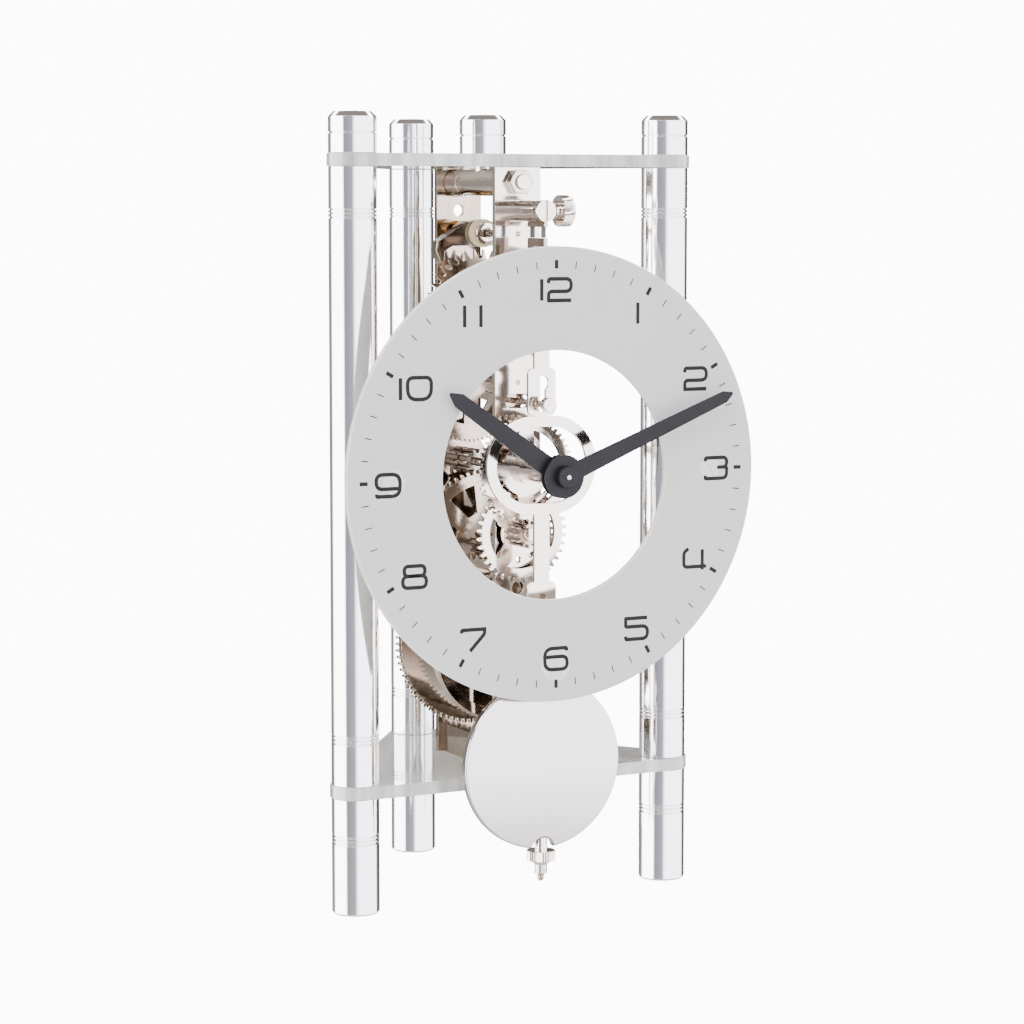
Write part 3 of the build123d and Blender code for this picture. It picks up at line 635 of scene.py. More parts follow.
def knurled(radius: float, low: float, high: float, ridges: int, depth: float) -> BMesh:
    """A short drum with ridges along its side and a raised, sloping end at each side.

    Args:
        radius: Radius over the ridges in millimetres.
        low: Height of its lower face.
        high: Height of its upper face.
        ridges: How many ridges.
        depth: Depth of the grooves between them.

    Returns:
        The closed mesh.
    """
    bm = bmesh.new()
    made = bmesh.ops.create_circle(bm, cap_ends=True, radius=radius * MM, segments=ridges * 2)
    share = 1 - depth / radius
    bmesh.ops.scale(bm, vec=(share, share, 1), verts=made["verts"][::2])
    bmesh.ops.translate(bm, vec=(0, 0, low * MM), verts=bm.verts)
    lifted = bmesh.ops.extrude_face_region(bm, geom=bm.faces[:])
    tops = [item for item in lifted["geom"] if isinstance(item, bmesh.types.BMVert)]
    bmesh.ops.translate(bm, vec=(0, 0, (high - low) * MM), verts=tops)
    ends = [face for face in bm.faces if len(face.verts) > 4]
    slope, rise = depth * 1.2 * MM, 0.12 * MM
    bmesh.ops.inset_region(bm, faces=ends, thickness=slope, depth=rise, use_even_offset=True)
    bmesh.ops.recalc_face_normals(bm, faces=bm.faces)
    return bm


def prism(outline: Sequence[Point2], front: float, back: float, width: float) -> BMesh:
    """A flat plate with an outline in X and Z, between two levels of Y.

    Args:
        outline: Corners in millimetres.
        front: Y of its front face in millimetres.
        back: Y of its back face in millimetres.
        width: Rounding of its edges in metres.

    Returns:
        The closed plate.
    """
    bm = bmesh.new()
    face = bm.faces.new([bm.verts.new((x * MM, front * MM, z * MM)) for x, z in outline])
    pushed = bmesh.ops.extrude_face_region(bm, geom=[face])
    moved = [item for item in pushed["geom"] if isinstance(item, bmesh.types.BMVert)]
    bmesh.ops.translate(bm, vec=(0, (back - front) * MM, 0), verts=moved)
    bmesh.ops.recalc_face_normals(bm, faces=bm.faces)
    return soften(bm, width, 40.0)


def stand(bm: BMesh, axis: Axis, spot: Iterable[float]) -> BMesh:
    """Turn a mesh from Z to an axis and move it to its place.

    Args:
        bm: The mesh to move.
        axis: Where its Z axis goes.
        spot: Where its origin goes, in metres.

    Returns:
        The same mesh.
    """
    bmesh.ops.rotate(bm, cent=(0, 0, 0), matrix=axis.value, verts=bm.verts)
    bmesh.ops.translate(bm, vec=Vector(spot), verts=bm.verts)
    return bm


def on_centre(bm: BMesh, node: str) -> BMesh:
    """Lay a turned mesh along Y on the centre line of a CAD node."""
    centre = middle(node)
    return stand(bm, Axis.Y, (centre.x, 0, centre.z))


def joined(parts: Iterable[BMesh]) -> BMesh:
    """Put several meshes into one.

    Args:
        parts: The meshes, which are used up.

    Returns:
        One mesh with all of them.
    """
    whole = bmesh.new()
    for part in parts:
        spare = as_mesh("spare", part)
        whole.from_mesh(spare)
        bpy.data.meshes.remove(spare)
    return whole


def round_corners(bm: BMesh, radius: float, reach: float) -> None:
    """Round the square outer corners of a flat plate that faces Y.

    Args:
        bm: The mesh to work on.
        radius: Radius of the corners in metres.
        reach: The least distance of a corner from the middle, sideways, in metres.
    """
    corners = [
        edge for edge in bm.edges
        if edge.is_manifold and edge.is_convex and edge.calc_face_angle(0.0) > math.radians(80)
        and abs((edge.verts[0].co - edge.verts[1].co).normalized().y) > 0.99
        and abs(edge.verts[0].co.x) > reach
    ]
    if corners:
        bevel(bm, corners, radius, 6)


def merged_copy(node: str, width: float, corner: float = 0.0) -> BMesh:
    """A welded copy of a CAD node with its flat faces made whole and its edges broken.

    Args:
        node: The CAD node.
        width: Rounding of its edges in metres.
        corner: Radius of its outer corners in metres, or nought to leave them square.

    Returns:
        The copy.
    """
    bm = bmesh.new()
    bm.from_mesh(frame["nodes"][node].data)
    bmesh.ops.remove_doubles(bm, verts=bm.verts, dist=2e-7)
    bmesh.ops.dissolve_limit(
        bm, angle_limit=math.radians(0.8), verts=bm.verts, edges=bm.edges, use_dissolve_boundaries=False,
    )
    if corner > 0:
        round_corners(bm, corner, 3 * MM)
    return soften(bm, width, 35.0)


def finish_piece(name: str, bm: BMesh, node: str, look: Finish, ink: bool = False) -> None:
    """Make a finished piece that stands for a CAD node.

    Args:
        name: The piece's name.
        bm: Its mesh, which is used up.
        node: The CAD node it stands for, or whose body it rides on.
        look: The finish to dress it in.
        ink: True for print that only rides on the node and hides nothing.
    """
    mesh = as_mesh(name, bm)
    mesh.polygons.foreach_set("use_smooth", [True] * len(mesh.polygons))
    mesh.set_sharp_from_angle(angle=math.radians(38))
    mesh.materials.append(look.material())
    piece = placed(name, mesh)
    even = piece.modifiers.new("even_normals", "WEIGHTED_NORMAL")
    even.keep_sharp = True
    even.weight = 80
    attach(piece, frame["nodes"][node]["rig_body"])
    if not ink:
        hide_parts(node)
    slot_of(node)
    LOG.info("%s: %d faces, for %s", name, len(mesh.polygons), node)


# --- Frame ---

@dataclass
class PillarFrame:
    """Three pillars on feet between two clear plates, with cap nuts above."""

    radius: float = 6.0
    plate_under: float = 29.5
    plate_thick: float = 3.2
    plate_over: float = 186.6
    height: float = 200.0
    groove_width: float = 0.45
    groove_depth: float = 0.35
    groove_pitch: float = 1.0
    foot_groove: float = 19.0
    pillar_grooves: tuple[float, ...] = (44.3, 175.0)
    cap_groove: float = 194.8
    cap_chamfer: float = 1.3
    foot_chamfer: float = 0.5
    end_break: float = 0.15
    plate_edge: float = 0.2 * MM

    def grooved_bar(self, low: float, high: float, levels: Sequence[float], foot: float,
                    top: float) -> BMesh:
        """Turn one bar with V-bottomed rings round it.

        Args:
            low: Its bottom in millimetres.
            high: Its top.
            levels: Height of each groove.
            foot: Chamfer at the bottom.
            top: Chamfer at the top.

        Returns:
            The turned bar.
        """
        half = self.groove_width / 2
        profile = [(0, low), (self.radius - foot, low), (self.radius, low + foot)]
        for level in sorted(levels):
            profile += [(self.radius, level - half), (self.radius - self.groove_depth, level - half * 0.5)]
            profile += [(self.radius - self.groove_depth, level + half * 0.5), (self.radius, level + half)]
        profile += [(self.radius, high - top), (self.radius - top, high), (0, high)]
        return lathe(profile, 0.04 * MM, 128)

    def triple(self, level: float) -> list[float]:
        """Three groove levels about a middle one."""
        return [level - self.groove_pitch, level, level + self.groove_pitch]

    def places(self) -> dict[str, Vector]:
        """Find where the pillars stand.

        Returns:
            The foot of each pillar's axis in metres, by node.
        """
        spots = {}
        for node in ("left_pillar", "right_pillar", "rear_pillar"):
            centre = middle(node)
            spots[node] = Vector((centre.x, centre.y, 0))
        return spots

    def build(self) -> None:
        """Build and dress the pillars, feet, caps and plates."""
        levels = [level for groove in self.pillar_grooves for level in self.triple(groove)]
        spots = self.places()
        low = self.plate_under + self.plate_thick
        for node, spot in spots.items():
            bar_shape = self.grooved_bar(low, self.plate_over, levels, self.end_break, self.end_break)
            body = stand(bar_shape, Axis.Z, spot)
            finish_piece(f"{node}_turned", body, node, TURNED)
        rings = self.triple(self.foot_groove)
        feet = [stand(self.grooved_bar(0, self.plate_under, rings, self.foot_chamfer, self.end_break),
                      Axis.Z, spot) for spot in spots.values()]
        finish_piece("feet_turned", joined(feet), "feet", TURNED)
        cap_low = self.plate_over + self.plate_thick
        caps = []
        for spot in [*spots.values(), self.middle_stud()]:
            cap = self.grooved_bar(cap_low, self.height, [self.cap_groove], self.end_break, self.cap_chamfer)
            caps.append(stand(cap, Axis.Z, spot))
        finish_piece("cap_nuts_turned", joined(caps), "cap_nuts", TURNED)
        for node in ("bottom_plate", "top_plate"):
            finish_piece(f"{node}_polished", merged_copy(node, self.plate_edge), node, CLEAR_PLATE)

    @staticmethod
    def middle_stud() -> Vector:
        """Find the stud over the movement, which holds the fourth cap.

        Returns:
            The foot of its axis in metres.
        """
        vertices = frame["nodes"]["plate_studs"].data.vertices
        near = [vert.co.y for vert in vertices if abs(vert.co.x) < 3 * MM and abs(vert.co.y) < 10 * MM]
        return Vector((0, (min(near) + max(near)) / 2, 0))


# --- Dial ---

@dataclass
class Dial:
    """The frosted ring dial with its printed hours and minutes."""

    outer: float = 56.6
    inner: float = 31.0
    rim: float = 0.25
    numeral_radius: float = 45.9
    numeral_height: float = 5.3
    numeral_width: float = 6.3
    stroke: float = 0.98
    corner: float = 0.42
    tick_inner: float = 51.1
    print_height: float = 0.05
    tight_corners: dict[str, float] = field(default_factory=lambda: {"0": 0.5, "4": 0.2, "7": 0.2})
    digit_gap: float = 1.9
    eleven_gap: float = 4.4
    bold_tick: Point2 = (0.95, 2.1)
    fine_tick: Point2 = (0.26, 1.9)
    curve_steps: int = 8
    nudges: dict[int, Point2] = field(default_factory=lambda: {
        8: (1.0, -0.2), 9: (0.2, -0.6), 10: (1.5, -0.4),
    })
    strokes: dict[str, list[list[Point2]]] = field(default_factory=lambda: {
        "0": [[(0.5, 1), (1, 1), (1, 0), (0, 0), (0, 1), (0.5, 1)]],
        "1": [[(0, 1), (0, 0)]],
        "2": [[(0, 0.8), (0, 1), (1, 1), (1, 0.42), (0, 0.42), (0, 0.02)], [(-0.07, 0), (1, 0)]],
        "3": [[(0, 0.84), (0, 1), (1, 1), (1, 0.53), (0.55, 0.53)],
              [(0.85, 0.53), (1, 0.53), (1, 0), (0, 0), (0, 0.16)]],
        "4": [[(0.22, 1), (0, 0.84), (0, 0.12), (1.04, 0.12)], [(0.86, 0.94), (0.86, -0.04)]],
        "5": [[(0.98, 1), (0, 1)], [(0, 1.08), (0, 0.56)],
              [(0, 0.6), (1, 0.6), (1, 0), (0, 0), (0, 0.16)]],
        "6": [[(0.97, 0.86), (0.97, 1), (0, 1), (0, 0), (1, 0), (1, 0.6), (0, 0.6)]],
        "7": [[(0, 0.86), (0, 1), (1.07, 1)], [(1, 1), (1, 0.78), (0.36, 0)]],
        "8": [[(0.5, 1), (0.94, 1), (0.94, 0.54), (0.06, 0.54), (0.06, 1), (0.5, 1)],
              [(0.5, 0.54), (1, 0.54), (1, 0), (0, 0), (0, 0.54), (0.5, 0.54)]],
        "9": [[(0.02, 0.12), (0.02, 0), (1, 0), (1, 1), (0, 1), (0, 0.34), (1, 0.34)]],
    })

    def rounded(self, corners: Sequence[Point2], softness: float) -> list[Point2]:
        """Round the corners of a stroke.

        Args:
            corners: Points in units of the numeral's width and height.
            softness: Reach of each corner's curve as a share of the height.

        Returns:
            Points in millimetres along the rounded stroke.
        """
        size = [Vector((x * self.numeral_width, y * self.numeral_height)) for x, y in corners]
        path = [size[0]]
        for before, corner, after in zip(size, size[1:], size[2:]):
            reach = min(softness * self.numeral_height,
                        (before - corner).length * 0.5, (after - corner).length * 0.5)
            start = corner + (before - corner).normalized() * reach
            end = corner + (after - corner).normalized() * reach
            for index in range(self.curve_steps + 1):
                share = index / self.curve_steps
                path.append(start * (1 - share) ** 2 + corner * 2 * share * (1 - share) + end * share ** 2)
        path.append(size[-1])
        return [(point.x, point.y) for point in path]

    @staticmethod
    def on_face(bm: BMesh) -> None:
        """Move print from the origin to the middle of the dial's face."""
        centre = middle("dial")
        bmesh.ops.translate(bm, vec=(centre.x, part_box("dial")[0].y, centre.z), verts=bm.verts)

    def numerals(self) -> BMesh:
        """Draw the hours as flat ribs on the dial.

        Returns:
            The print as one mesh.
        """
        curve = bpy.data.curves.new("numerals", "CURVE")
        curve.dimensions = "3D"
        curve.bevel_depth = self.stroke / 2 * MM
        curve.bevel_resolution = 2
        curve.use_fill_caps = True
        for hour in range(1, 13):
            digits = str(hour)
            widths = [0.0 if digit == "1" else self.numeral_width for digit in digits]
            gap = self.eleven_gap if digits == "11" else self.digit_gap
            left = -(sum(widths) + gap * (len(digits) - 1)) / 2
            angle = math.radians(90 - 30 * hour)
            nudge_x, nudge_z = self.nudges.get(hour, (0.0, 0.0))
            middle_x = self.numeral_radius * math.cos(angle) + nudge_x
            middle_z = self.numeral_radius * math.sin(angle) - self.numeral_height / 2 + nudge_z
            for digit, width in zip(digits, widths):
                for corners in self.strokes[digit]:
                    path = self.rounded(corners, self.tight_corners.get(digit, self.corner))
                    spline = curve.splines.new("POLY")
                    spline.points.add(len(path) - 1)
                    for point, (x, z) in zip(spline.points, path):
                        point.co = ((middle_x + left + x) * MM, 0, (middle_z + z) * MM, 1)
                left += width + gap
        holder = bpy.data.objects.new("numerals", curve)
        mesh = bpy.data.meshes.new_from_object(holder)
        bpy.data.objects.remove(holder)
        bm = bmesh.new()
        bm.from_mesh(mesh)
        flat = self.print_height / (self.stroke / 2)
        bmesh.ops.scale(bm, vec=(1, flat, 1), verts=bm.verts)
        self.on_face(bm)
        bmesh.ops.recalc_face_normals(bm, faces=bm.faces)
        return bm

    def ticks(self) -> BMesh:
        """Draw sixty minute marks, with a bold one at each hour.

        Returns:
            The marks as one mesh.
        """
        bm = bmesh.new()
        for minute in range(60):
            bold = minute % 5 == 0
            width, length = self.bold_tick if bold else self.fine_tick
            turn = Matrix.Rotation(math.radians(6 * minute), 3, "Y")
            made = bmesh.ops.create_cube(bm, size=1.0)["verts"]
            bmesh.ops.scale(bm, vec=(width * MM, 2 * self.print_height * MM, length * MM), verts=made)
            bmesh.ops.translate(bm, vec=(0, 0, (self.tick_inner + length / 2) * MM), verts=made)
            bmesh.ops.rotate(bm, cent=(0, 0, 0), matrix=turn, verts=made)
        self.on_face(bm)
        return soften(bm, 0.012 * MM, 50.0)

    def build(self) -> None:
        """Build and dress the dial and its print."""
        low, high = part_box("dial")
        front, back = low.y / MM, high.y / MM
        rim = self.rim
        profile = [
            (self.inner, front + rim), (self.inner + rim, front), (self.outer - rim, front),
            (self.outer, front + rim), (self.outer, back - rim), (self.outer - rim, back),
            (self.inner + rim, back), (self.inner, back - rim), (self.inner, front + rim),
        ]
        disc = on_centre(lathe(profile, 0.03 * MM, 256), "dial")
        finish_piece("dial_frosted", disc, "dial", DIAL_FROST)
        finish_piece("dial_numerals", self.numerals(), "dial", DIAL_INK, ink=True)
        finish_piece("dial_ticks", self.ticks(), "dial", DIAL_INK, ink=True)
        for node, look in (("dial_posts", STEEL_TURNED), ("dial_pads", CLEAR_PLATE)):
            finish_piece(f"{node}_turned", merged_copy(node, 0.05 * MM), node, look)


# --- Hands ---

@dataclass
class Hands:
    """Two straight black hands and the knurled nut that holds them."""

    hour_length: float = 36.9
    hour_angle: float = 144.9
    hour_widths: Point2 = (5.0, 3.7)
    minute_length: float = 51.8
    minute_angle: float = 21.9
    minute_widths: Point2 = (4.4, 3.0)
    point: float = 0.8
    tip_half: float = 0.3
    hub: float = 5.4
    hub_facets: int = 96
    blade_edge: float = 0.12 * MM
    nut: float = 2.75
    nut_ridges: int = 30
    nut_depth: float = 0.26

    def outline(self, length: float, widths: Point2, angle: float, centre: Vector) -> list[Point2]:
        """The outline of one hand.

        Args:
            length: From the centre to the tip in millimetres.
            widths: Width at the hub and just before the point.
            angle: Where it points, anticlockwise from the right, in degrees.
            centre: The hands' centre in metres.

        Returns:
            Corners in millimetres.
        """
        root, tip = widths
        start = math.degrees(math.asin(root / 2 / self.hub))
        points = []
        for index in range(self.hub_facets + 1):
            round_hub = math.radians(start + (360 - 2 * start) * index / self.hub_facets)
            points.append(Vector((self.hub * math.cos(round_hub), self.hub * math.sin(round_hub))))
        shoulder = length - self.point * tip
        points += [Vector((shoulder, -tip / 2)), Vector((length, -self.tip_half))]
        points += [Vector((length, self.tip_half)), Vector((shoulder, tip / 2))]
        turn = Matrix.Rotation(math.radians(angle), 2)
        shift = Vector((centre.x, centre.z)) / MM
        return [tuple(turn @ point + shift) for point in points]

    def build(self) -> None:
        """Build and dress both hands and the nut."""
        centre = middle("hour_wheel")
        centre.x = 0.0
        for node, length, widths, angle in (
            ("hour_hand", self.hour_length, self.hour_widths, self.hour_angle),
            ("minute_hand", self.minute_length, self.minute_widths, self.minute_angle),
        ):
            low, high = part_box(node)
            outline = self.outline(length, widths, angle, centre)
            blade = prism(outline, low.y / MM, high.y / MM, self.blade_edge)
            finish_piece(f"{node}_painted", blade, node, HAND_BLACK)
        low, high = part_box("hand_nut")
        nut = knurled(self.nut, low.y / MM, high.y / MM, self.nut_ridges, self.nut_depth)
        nut = stand(nut, Axis.Y, (centre.x, 0, centre.z))
        finish_piece("hand_nut_knurled", nut, "hand_nut", HAND_BLACK)


# --- Pendulum ---

@dataclass
class Pendulum:
    """The mirror-polished bob, its rating nut and threaded rod, in millimetres."""

    bob_radius: float = 21.7
    bob_half: float = 3.5
    bob_edge: float = 1.1
    lens_steps: int = 40
    lens_corner: float = 0.25 * MM
    slot: Point3 = (6.4, 16.0, 8.0)
    notch: float = 3.2
    rod: float = 0.95
    bore_gap: float = 0.1
    rod_top: float = 59.4
    rod_tip: float = 0.5
    thread_top: float = 22.0
    thread_depth: float = 0.18
    pitch: float = 0.5
    tab_width: float = 5.0
    tab_height: float = 10.5
    tab_middle: float = 62.75
    tab_front: float = 0.55
    nut_gap: float = 0.05
    nut_neck: float = 1.6
    nut_flare: float = 3.0
    nut_disc: float = 3.7
    nut_levels: tuple[float, ...] = (2.3, 3.5, 5.8, 9.3)
    nut_ridges: int = 36
    nut_depth: float = 0.16

    def lens(self) -> BMesh:
        """A lens turned about Z, before its notch and bore are cut.

        Returns:
            The closed lens.
        """
        bulge = self.bob_half - self.bob_edge
        face = (self.bob_radius ** 2 + bulge ** 2) / (2 * bulge)
        radii = [self.bob_radius * index / self.lens_steps for index in range(self.lens_steps + 1)]
        rise = [(r, self.bob_half - face + math.sqrt(face ** 2 - r ** 2)) for r in radii]
        return lathe([(r, -h) for r, h in rise] + rise[::-1], self.lens_corner, 192)

    def cut(self, bm: BMesh, cutters: Sequence[BMesh]) -> BMesh:
        """Cut closed shapes out of a mesh.

        Args:
            bm: The mesh to cut.
            cutters: What is taken away.

        Returns:
            The cut mesh.
        """
        blank = placed("blank", as_mesh("blank", bm))
        helpers = [blank]
        for cutter in cutters:
            tool = placed("cutter", as_mesh("cutter", cutter))
            helpers.append(tool)
            cut = blank.modifiers.new("cut", "BOOLEAN")
            cut.operation = "DIFFERENCE"
            cut.solver = "EXACT"
            cut.object = tool
        bpy.context.view_layer.update()
        shaped = blank.evaluated_get(bpy.context.evaluated_depsgraph_get())
        result = bmesh.new()
        result.from_mesh(shaped.to_mesh())
        shaped.to_mesh_clear()
        for helper in helpers:
            bpy.data.objects.remove(helper)
        return result

    def threaded(self, low: float) -> BMesh:
        """The rod with a rolled thread.

        Args:
            low: Its pointed end in millimetres.

        Returns:
            The turned rod.
        """
        profile = [(0, low), (self.rod - self.rod_tip, low), (self.rod - 0.1, low + self.rod_tip)]
        level = low + 0.6
        while level < self.thread_top:
            profile += [(self.rod, level), (self.rod - self.thread_depth, level + self.pitch / 2)]
            level += self.pitch
        profile += [(self.rod, level), (self.rod, self.rod_top), (0, self.rod_top)]
        return lathe(profile, 0.0, 40)

    def bob(self, rod_y: float) -> BMesh:
        """The bob with its notch for the rating nut, its slot for the tab and its bore for the rod.

        Args:
            rod_y: Y of the rod's axis in metres.

        Returns:
            The cut lens in its place.
        """
        _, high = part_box("bob")
        centre_y = middle("bob").y
        bob_z = high.z - math.sqrt(self.bob_radius ** 2 - (self.slot[0] / 2) ** 2) * MM
        lens = stand(self.lens(), Axis.Y, (0, centre_y, bob_z))
        foot = (0, centre_y, bob_z - self.bob_radius * MM)
        notch = stand(bar(self.notch, -8, 8, 0.0, 64), Axis.Y, foot)
        slot = block([side * MM for side in self.slot], (0, centre_y, bob_z + self.bob_radius * MM))
        bore = bar(self.rod + self.bore_gap, bob_z / MM - 30, bob_z / MM + 30, 0.0, 48)
        return self.cut(lens, [notch, slot, stand(bore, Axis.Z, (0, rod_y, 0))])

    def nut(self, low: float) -> BMesh:
        """The rating nut: a sleeve with a knurled disc that flares out of it below.

        Args:
            low: Its lower end in millimetres.

        Returns:
            The nut about Z.
        """
        bore = self.rod + self.nut_gap
        flare, disc_low, disc_high, top = (low + level for level in self.nut_levels)
        sleeve = lathe([
            (bore, low), (self.nut_neck, low), (self.nut_neck, flare), (self.nut_flare, disc_low),
            (self.nut_neck, disc_low), (self.nut_neck, top), (bore, top), (bore, low),
        ], 0.08 * MM, 64)
        disc = knurled(self.nut_disc, disc_low, disc_high, self.nut_ridges, self.nut_depth)
        return joined([sleeve, disc])

    def build(self) -> None:
        """Build and dress the pendulum's pieces."""
        low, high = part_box("rating_nut")
        rod_y = (low.y + high.y) / 2
        finish_piece("bob_polished", self.bob(rod_y), "bob", MIRROR_BOB)
        nut = stand(self.nut(low.z / MM), Axis.Z, (0, rod_y, 0))
        finish_piece("rating_nut_knurled", nut, "rating_nut", PLATED)
        low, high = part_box("rating_rod")
        rod = stand(self.threaded(low.z / MM), Axis.Z, (0, rod_y, 0))
        front = self.tab_front * MM
        size = (self.tab_width * MM, high.y - rod_y - front, self.tab_height * MM)
        tab = block(size, (0, (high.y + rod_y + front) / 2, self.tab_middle * MM))
        rod = joined([rod, soften(tab, 0.1 * MM)])
        finish_piece("rating_rod_threaded", rod, "rating_rod", STEEL_TURNED)


# --- Escapement and suspension details ---

@dataclass
class Suspension:
    """The knurled clamp screw in the slotted post, in millimetres."""

    head: float = 3.95
    head_length: float = 2.8
    ridges: int = 90
    ridge_depth: float = 0.07
    neck: float = 2.0
    neck_levels: Point2 = (1.4, 1.3)
    shank: float = 0.8

    def build(self) -> None:
        """Build and dress the clamp screw."""
        low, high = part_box("suspension_screw")
        centre = middle("suspension_screw")
        head_low = high.x / MM - self.head_length
        head = knurled(self.head, head_low, high.x / MM, self.ridges, self.ridge_depth)
        shank_end, neck_start = (head_low - level for level in self.neck_levels)
        shank = lathe([
            (0, low.x / MM), (self.shank, low.x / MM), (self.shank, shank_end),
            (self.neck, neck_start), (self.neck, head_low), (0, head_low),
        ], 0.06 * MM, 48)
        screw = stand(joined([head, shank]), Axis.X, (0, centre.y, centre.z))
        finish_piece("clamp_screw_knurled", screw, "suspension_screw", PLATED)


@dataclass
class Escapement:
    """The turned rings on the anchor's arbor."""

    bore: float = 0.92
    edge: float = 0.25 * MM

    def build(self) -> None:
        """Build and dress the ring, collet and bush."""
        for node, look in (("anchor_ring", NYLON_CREAM), ("anchor_collet", PLATED_TURNED),
                           ("anchor_bush", TURNED_BRASS)):
            low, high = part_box(node)
            radius = (high.x - low.x) / 2 / MM
            body = ring(self.bore, radius, low.y / MM, high.y / MM, self.edge, 72)
            finish_piece(f"{node}_turned", on_centre(body, node), node, look)


# --- Barrel ---

@dataclass
class Barrel:
    """The spring barrel's drum and its snapped-in cover, in millimetres."""

    outer: float = 19.0
    inner: float = 17.8
    chamfer: float = 0.25
    rim: float = 3.0
    relief: float = 0.12
    relief_slope: float = 0.1
    arbor: float = 2.05
    back_boss: float = 4.0
    back_boss_length: float = 2.0
    floor: float = 1.2
    cover_step: float = 16.0
    cover_chamfer: float = 0.6
    cover_web: float = 0.7
    cover_rib: Point2 = (3.6, 4.6)
    cover_fit: float = 0.1
    edge: float = 0.06 * MM

    def drum(self) -> BMesh:
        """The open drum, turned about Z.

        Returns:
            The closed mesh.
        """
        low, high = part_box("barrel_drum")
        front, back = low.y / MM, high.y / MM
        wall = back - self.back_boss_length
        floor = wall - self.floor
        waist = self.outer - self.relief
        start = (self.outer - self.chamfer, front)
        return lathe([
            start, (self.outer, front + self.chamfer), (self.outer, front + self.rim),
            (waist, front + self.rim + self.relief_slope), (waist, wall), (self.back_boss, wall),
            (self.back_boss, back), (self.arbor, back), (self.arbor, floor), (self.inner, floor),
            (self.inner, front), start,
        ], self.edge, 192)

    def cover(self) -> BMesh:
        """The cover with a raised rib round its hole, turned about Z.

        Returns:
            The closed mesh.
        """
        low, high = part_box("barrel_cover")
        face, tail = low.y / MM, high.y / MM
        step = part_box("barrel_drum")[0].y / MM
        web = step - self.cover_web
        rib_in, rib_out = self.cover_rib
        rib_face = face + self.cover_fit
        spigot = self.inner - self.cover_fit
        return lathe([
            (self.arbor, web), (rib_in, web), (rib_in, rib_face), (rib_out, rib_face), (rib_out, web),
            (self.cover_step, web), (self.cover_step, face), (self.outer - self.cover_chamfer, face),
            (self.outer, face + self.cover_chamfer), (self.outer, step), (spigot, step), (spigot, tail),
            (self.arbor, tail), (self.arbor, web),
        ], self.edge, 192)

    def build(self) -> None:
        """Build and dress the drum and its cover, both about the drum's axis."""
        for node, shape in (("barrel_drum", self.drum()), ("barrel_cover", self.cover())):
            # Drum and cover take the darker nickel: painted shade.
            finish_piece(f"{node}_turned", on_centre(shape, "barrel_drum"), node, TURNED_PAINTED_SHADE)


# --- Everything else: machined from the CAD shapes ---

@dataclass
class MachinedParts:
    """Copies of the flat and small parts with broken edges, dressed one by one."""

    plates: tuple[str, ...] = ("front_plate", "pendulum_rod")
    wheels: tuple[str, ...] = ("minute_wheel", "hour_wheel", "ratchet_wheel")
    # The wheels, plates and round parts deep in the movement, listed in these three groups, take the darker
    # nickel: painted shade.
    inner_wheels: tuple[str, ...] = (
        "great_wheel", "center_wheel", "third_wheel", "second_wheel", "escape_wheel",
    )
    inner_plates: tuple[str, ...] = ("back_plate", "base_block", "crutch")
    round_parts: tuple[str, ...] = (
        "suspension_post", "top_spacer", "minute_post", "hanger_button", "crutch_pin", "base_screws",
        "click_screw",
    )
    inner_round: tuple[str, ...] = (
        "minute_pinion", "cannon_pinion", "upper_spring_block", "lower_spring_block",
    )
    plate_edge: float = 0.2 * MM
    wheel_edge: float = 0.08 * MM
    small_edge: float = 0.18 * MM
    tab_corner: float = 1.3 * MM

    def look_of(self, node: str) -> tuple[Finish, float]:
        """The finish and edge rounding of a node.

        Args:
            node: The CAD node.

        Returns:
            Its finish and the rounding in metres.
        """
        groups = (
            (self.plates, PLATED_LINED, self.plate_edge),
            (self.inner_plates, PLATE_PAINTED_SHADE, self.plate_edge),
            (self.wheels, WHEEL_SATIN, self.wheel_edge),
            (self.inner_wheels, WHEEL_PAINTED_SHADE, self.wheel_edge),
            (self.round_parts, PLATED_TURNED, self.small_edge),
            (self.inner_round, TURNED_PAINTED_SHADE, self.small_edge),
        )
        for nodes, look, width in groups:
            if node in nodes:
                return look, width
        return SLOT_FINISH[slot_of(node)], self.small_edge

    def build(self) -> None:
        """Build and dress every CAD node that nothing stands for yet."""
        for node in sorted(frame["nodes"]):
            if not frame["nodes"][node].hide_render:
                look, width = self.look_of(node)
                corner = self.tab_corner if node == "pendulum_rod" else 0.0
                finish_piece(f"{node}_finished", merged_copy(node, width, corner), node, look)


# --- Studio ---

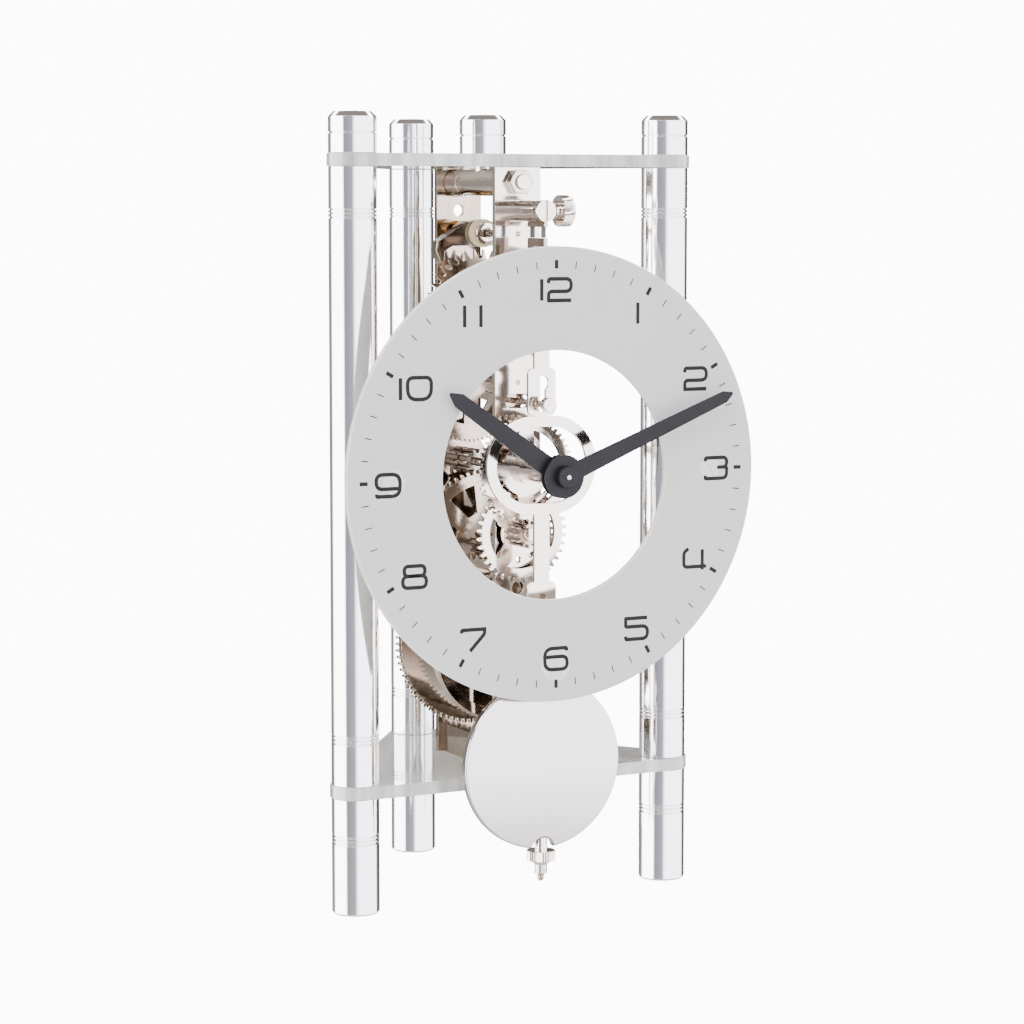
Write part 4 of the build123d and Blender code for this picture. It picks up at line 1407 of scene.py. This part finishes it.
@dataclass
class Studio:
    """The camera, a pale floor and soft light with darker flags for the metal to mirror."""

    camera_spot: Point3 = (-0.3419, -0.6937, 0.1777)
    heading: float = -26.83
    focal: float = 104.9
    pitch: float = 5.34
    shift: float = -0.03
    floor_radius: float = 0.42
    floor_glow: float = 0.96
    paper_strength: float = 12.0
    lamps: tuple[tuple[str, Point3, float, float], ...] = (
        ("key_left", (-0.9, -0.8, 1.1), 0.9, 22.0),
        ("fill_right", (1.1, -0.6, 0.7), 0.8, 6.0),
        ("top", (0.0, 0.3, 1.3), 0.7, 10.0),
    )
    walls: Colour = (1.0, 0.99, 0.98)
    wall_strength: float = 1.25
    overhead: Point2 = (0.3, 0.36)
    underneath: Point2 = (-0.2, -0.75)
    bench: Colour = (0.12, 0.116, 0.112)
    ceiling: tuple[tuple[float, Colour], ...] = (
        (0.0, (0.012, 0.01, 0.008)), (0.5, (0.014, 0.012, 0.01)), (0.54, (0.9, 0.89, 0.87)),
        (0.68, (0.9, 0.89, 0.87)), (0.73, (0.03, 0.027, 0.024)),
    )
    band_strength: float = 12.0
    bands: tuple[tuple[float, Colour], ...] = (
        (0.0, (0.03, 0.029, 0.027)), (0.165, (0.035, 0.033, 0.03)), (0.19, (1.0, 0.985, 0.97)),
        (0.37, (1.0, 0.99, 0.98)), (0.392, (0.038, 0.037, 0.043)), (0.505, (0.06, 0.058, 0.066)),
        (0.55, (0.5, 0.48, 0.515)), (0.82, (0.52, 0.5, 0.52)), (0.85, (0.012, 0.011, 0.011)),
        (0.98, (0.012, 0.011, 0.011)),
    )

    def camera(self) -> None:
        """Place the camera."""
        data = bpy.data.cameras.new("camera")
        data.lens = self.focal
        data.sensor_width = 36.0
        data.shift_y = self.shift
        data.clip_start = 0.01
        camera = placed("camera", data)
        camera.location = self.camera_spot
        camera.rotation_euler = (math.radians(90 - self.pitch), 0, math.radians(self.heading))
        bpy.context.scene.camera = camera

    def floor(self) -> None:
        """Lay the floor, which the camera sees almost as bright as the paper behind."""
        bm = bmesh.new()
        bmesh.ops.create_circle(bm, cap_ends=True, radius=self.floor_radius, segments=64)
        mesh = as_mesh("floor", bm)
        material, graph = new_graph("floor_paper")
        weave = graph.noise(graph.place(), 300.0, 2.0)
        sheet = graph.add("ShaderNodeBsdfPrincipled", {}, {
            "Base Color": graph.blend(weave, (0.9, 0.9, 0.9), (0.88, 0.88, 0.88)), "Roughness": 0.9,
            "Specular IOR Level": 0.1,
        })
        glow = graph.add("ShaderNodeEmission", {}, {"Strength": self.paper_strength})
        seen = graph.add("ShaderNodeLightPath", out="Is Camera Ray")
        mixed = {0: seen * self.floor_glow, 1: sheet, 2: glow}
        graph.surface(graph.add("ShaderNodeMixShader", {}, mixed))
        mesh.materials.append(material)
        floor = placed("floor", mesh)
        floor.visible_glossy = False

    def lamp(self, name: str, spot: Sequence[float], size: float, power: float) -> None:
        """Hang a square soft light aimed at the clock.

        Args:
            name: The light's name.
            spot: Where it hangs in metres.
            size: Its side in metres.
            power: Its power in watts.
        """
        data = bpy.data.lights.new(name, "AREA")
        data.size = size
        data.energy = power
        lamp = placed(name, data)
        lamp.location = spot
        lamp.visible_glossy = False
        aim = Vector((0, 0, 0.1)) - Vector(spot)
        lamp.rotation_euler = aim.to_track_quat("-Z", "Y").to_euler()

    @staticmethod
    def glowing(graph: Graph, colour: object, strength: float) -> Wire:
        """An even or patterned backdrop of the world."""
        return graph.add("ShaderNodeBackground", {}, {"Color": colour, "Strength": strength})

    def surroundings(self) -> None:
        """A bright room round the clock, with darker upright bands beside the camera and behind."""
        world = bpy.data.worlds.new("studio")
        bpy.context.scene.world = world
        world.use_nodes = True
        graph = Graph(world.node_tree)
        direction = graph.add("ShaderNodeTexCoord", out="Generated")
        turned = graph.add("ShaderNodeMapping", {"vector_type": "POINT"}, {
            "Vector": direction, "Rotation": (0, 0, math.radians(90 - self.heading)),
        })
        round_about = graph.add("ShaderNodeTexGradient", {"gradient_type": "RADIAL"}, {0: turned}, out=1)
        bands = graph.add("ShaderNodeValToRGB", {"stops": self.bands}, {0: round_about})
        height = graph.part(direction, "Z")
        above = graph.fade(height, self.overhead)
        ceiling = graph.add("ShaderNodeValToRGB", {"stops": self.ceiling}, {0: height})
        bands = graph.blend(above, bands, ceiling)
        bands = graph.blend(graph.fade(height, self.underneath), bands, self.bench)
        mirrored = self.glowing(graph, bands, self.band_strength)
        room = self.glowing(graph, (*self.walls, 1.0), self.wall_strength)
        paper = self.glowing(graph, (1, 1, 1, 1), self.paper_strength)
        glossy = graph.add("ShaderNodeLightPath", out="Is Glossy Ray")
        seen = graph.add("ShaderNodeLightPath", out="Is Camera Ray")
        room = graph.add("ShaderNodeMixShader", {}, {0: glossy, 1: room, 2: mirrored})
        both = graph.add("ShaderNodeMixShader", {}, {0: seen, 1: room, 2: paper})
        graph.add("ShaderNodeOutputWorld", {}, {"Surface": both})

    def build(self) -> None:
        """Set up the whole studio."""
        self.camera()
        self.floor()
        self.surroundings()
        for lamp in self.lamps:
            self.lamp(*lamp)


def main() -> None:
    """Build the whole clock and its studio."""
    logging.basicConfig(level=logging.INFO, format="%(message)s")
    Studio().build()
    PillarFrame().build()
    Dial().build()
    Hands().build()
    Pendulum().build()
    Suspension().build()
    Escapement().build()
    Barrel().build()
    MachinedParts().build()


if __name__ == "__main__":
    main()
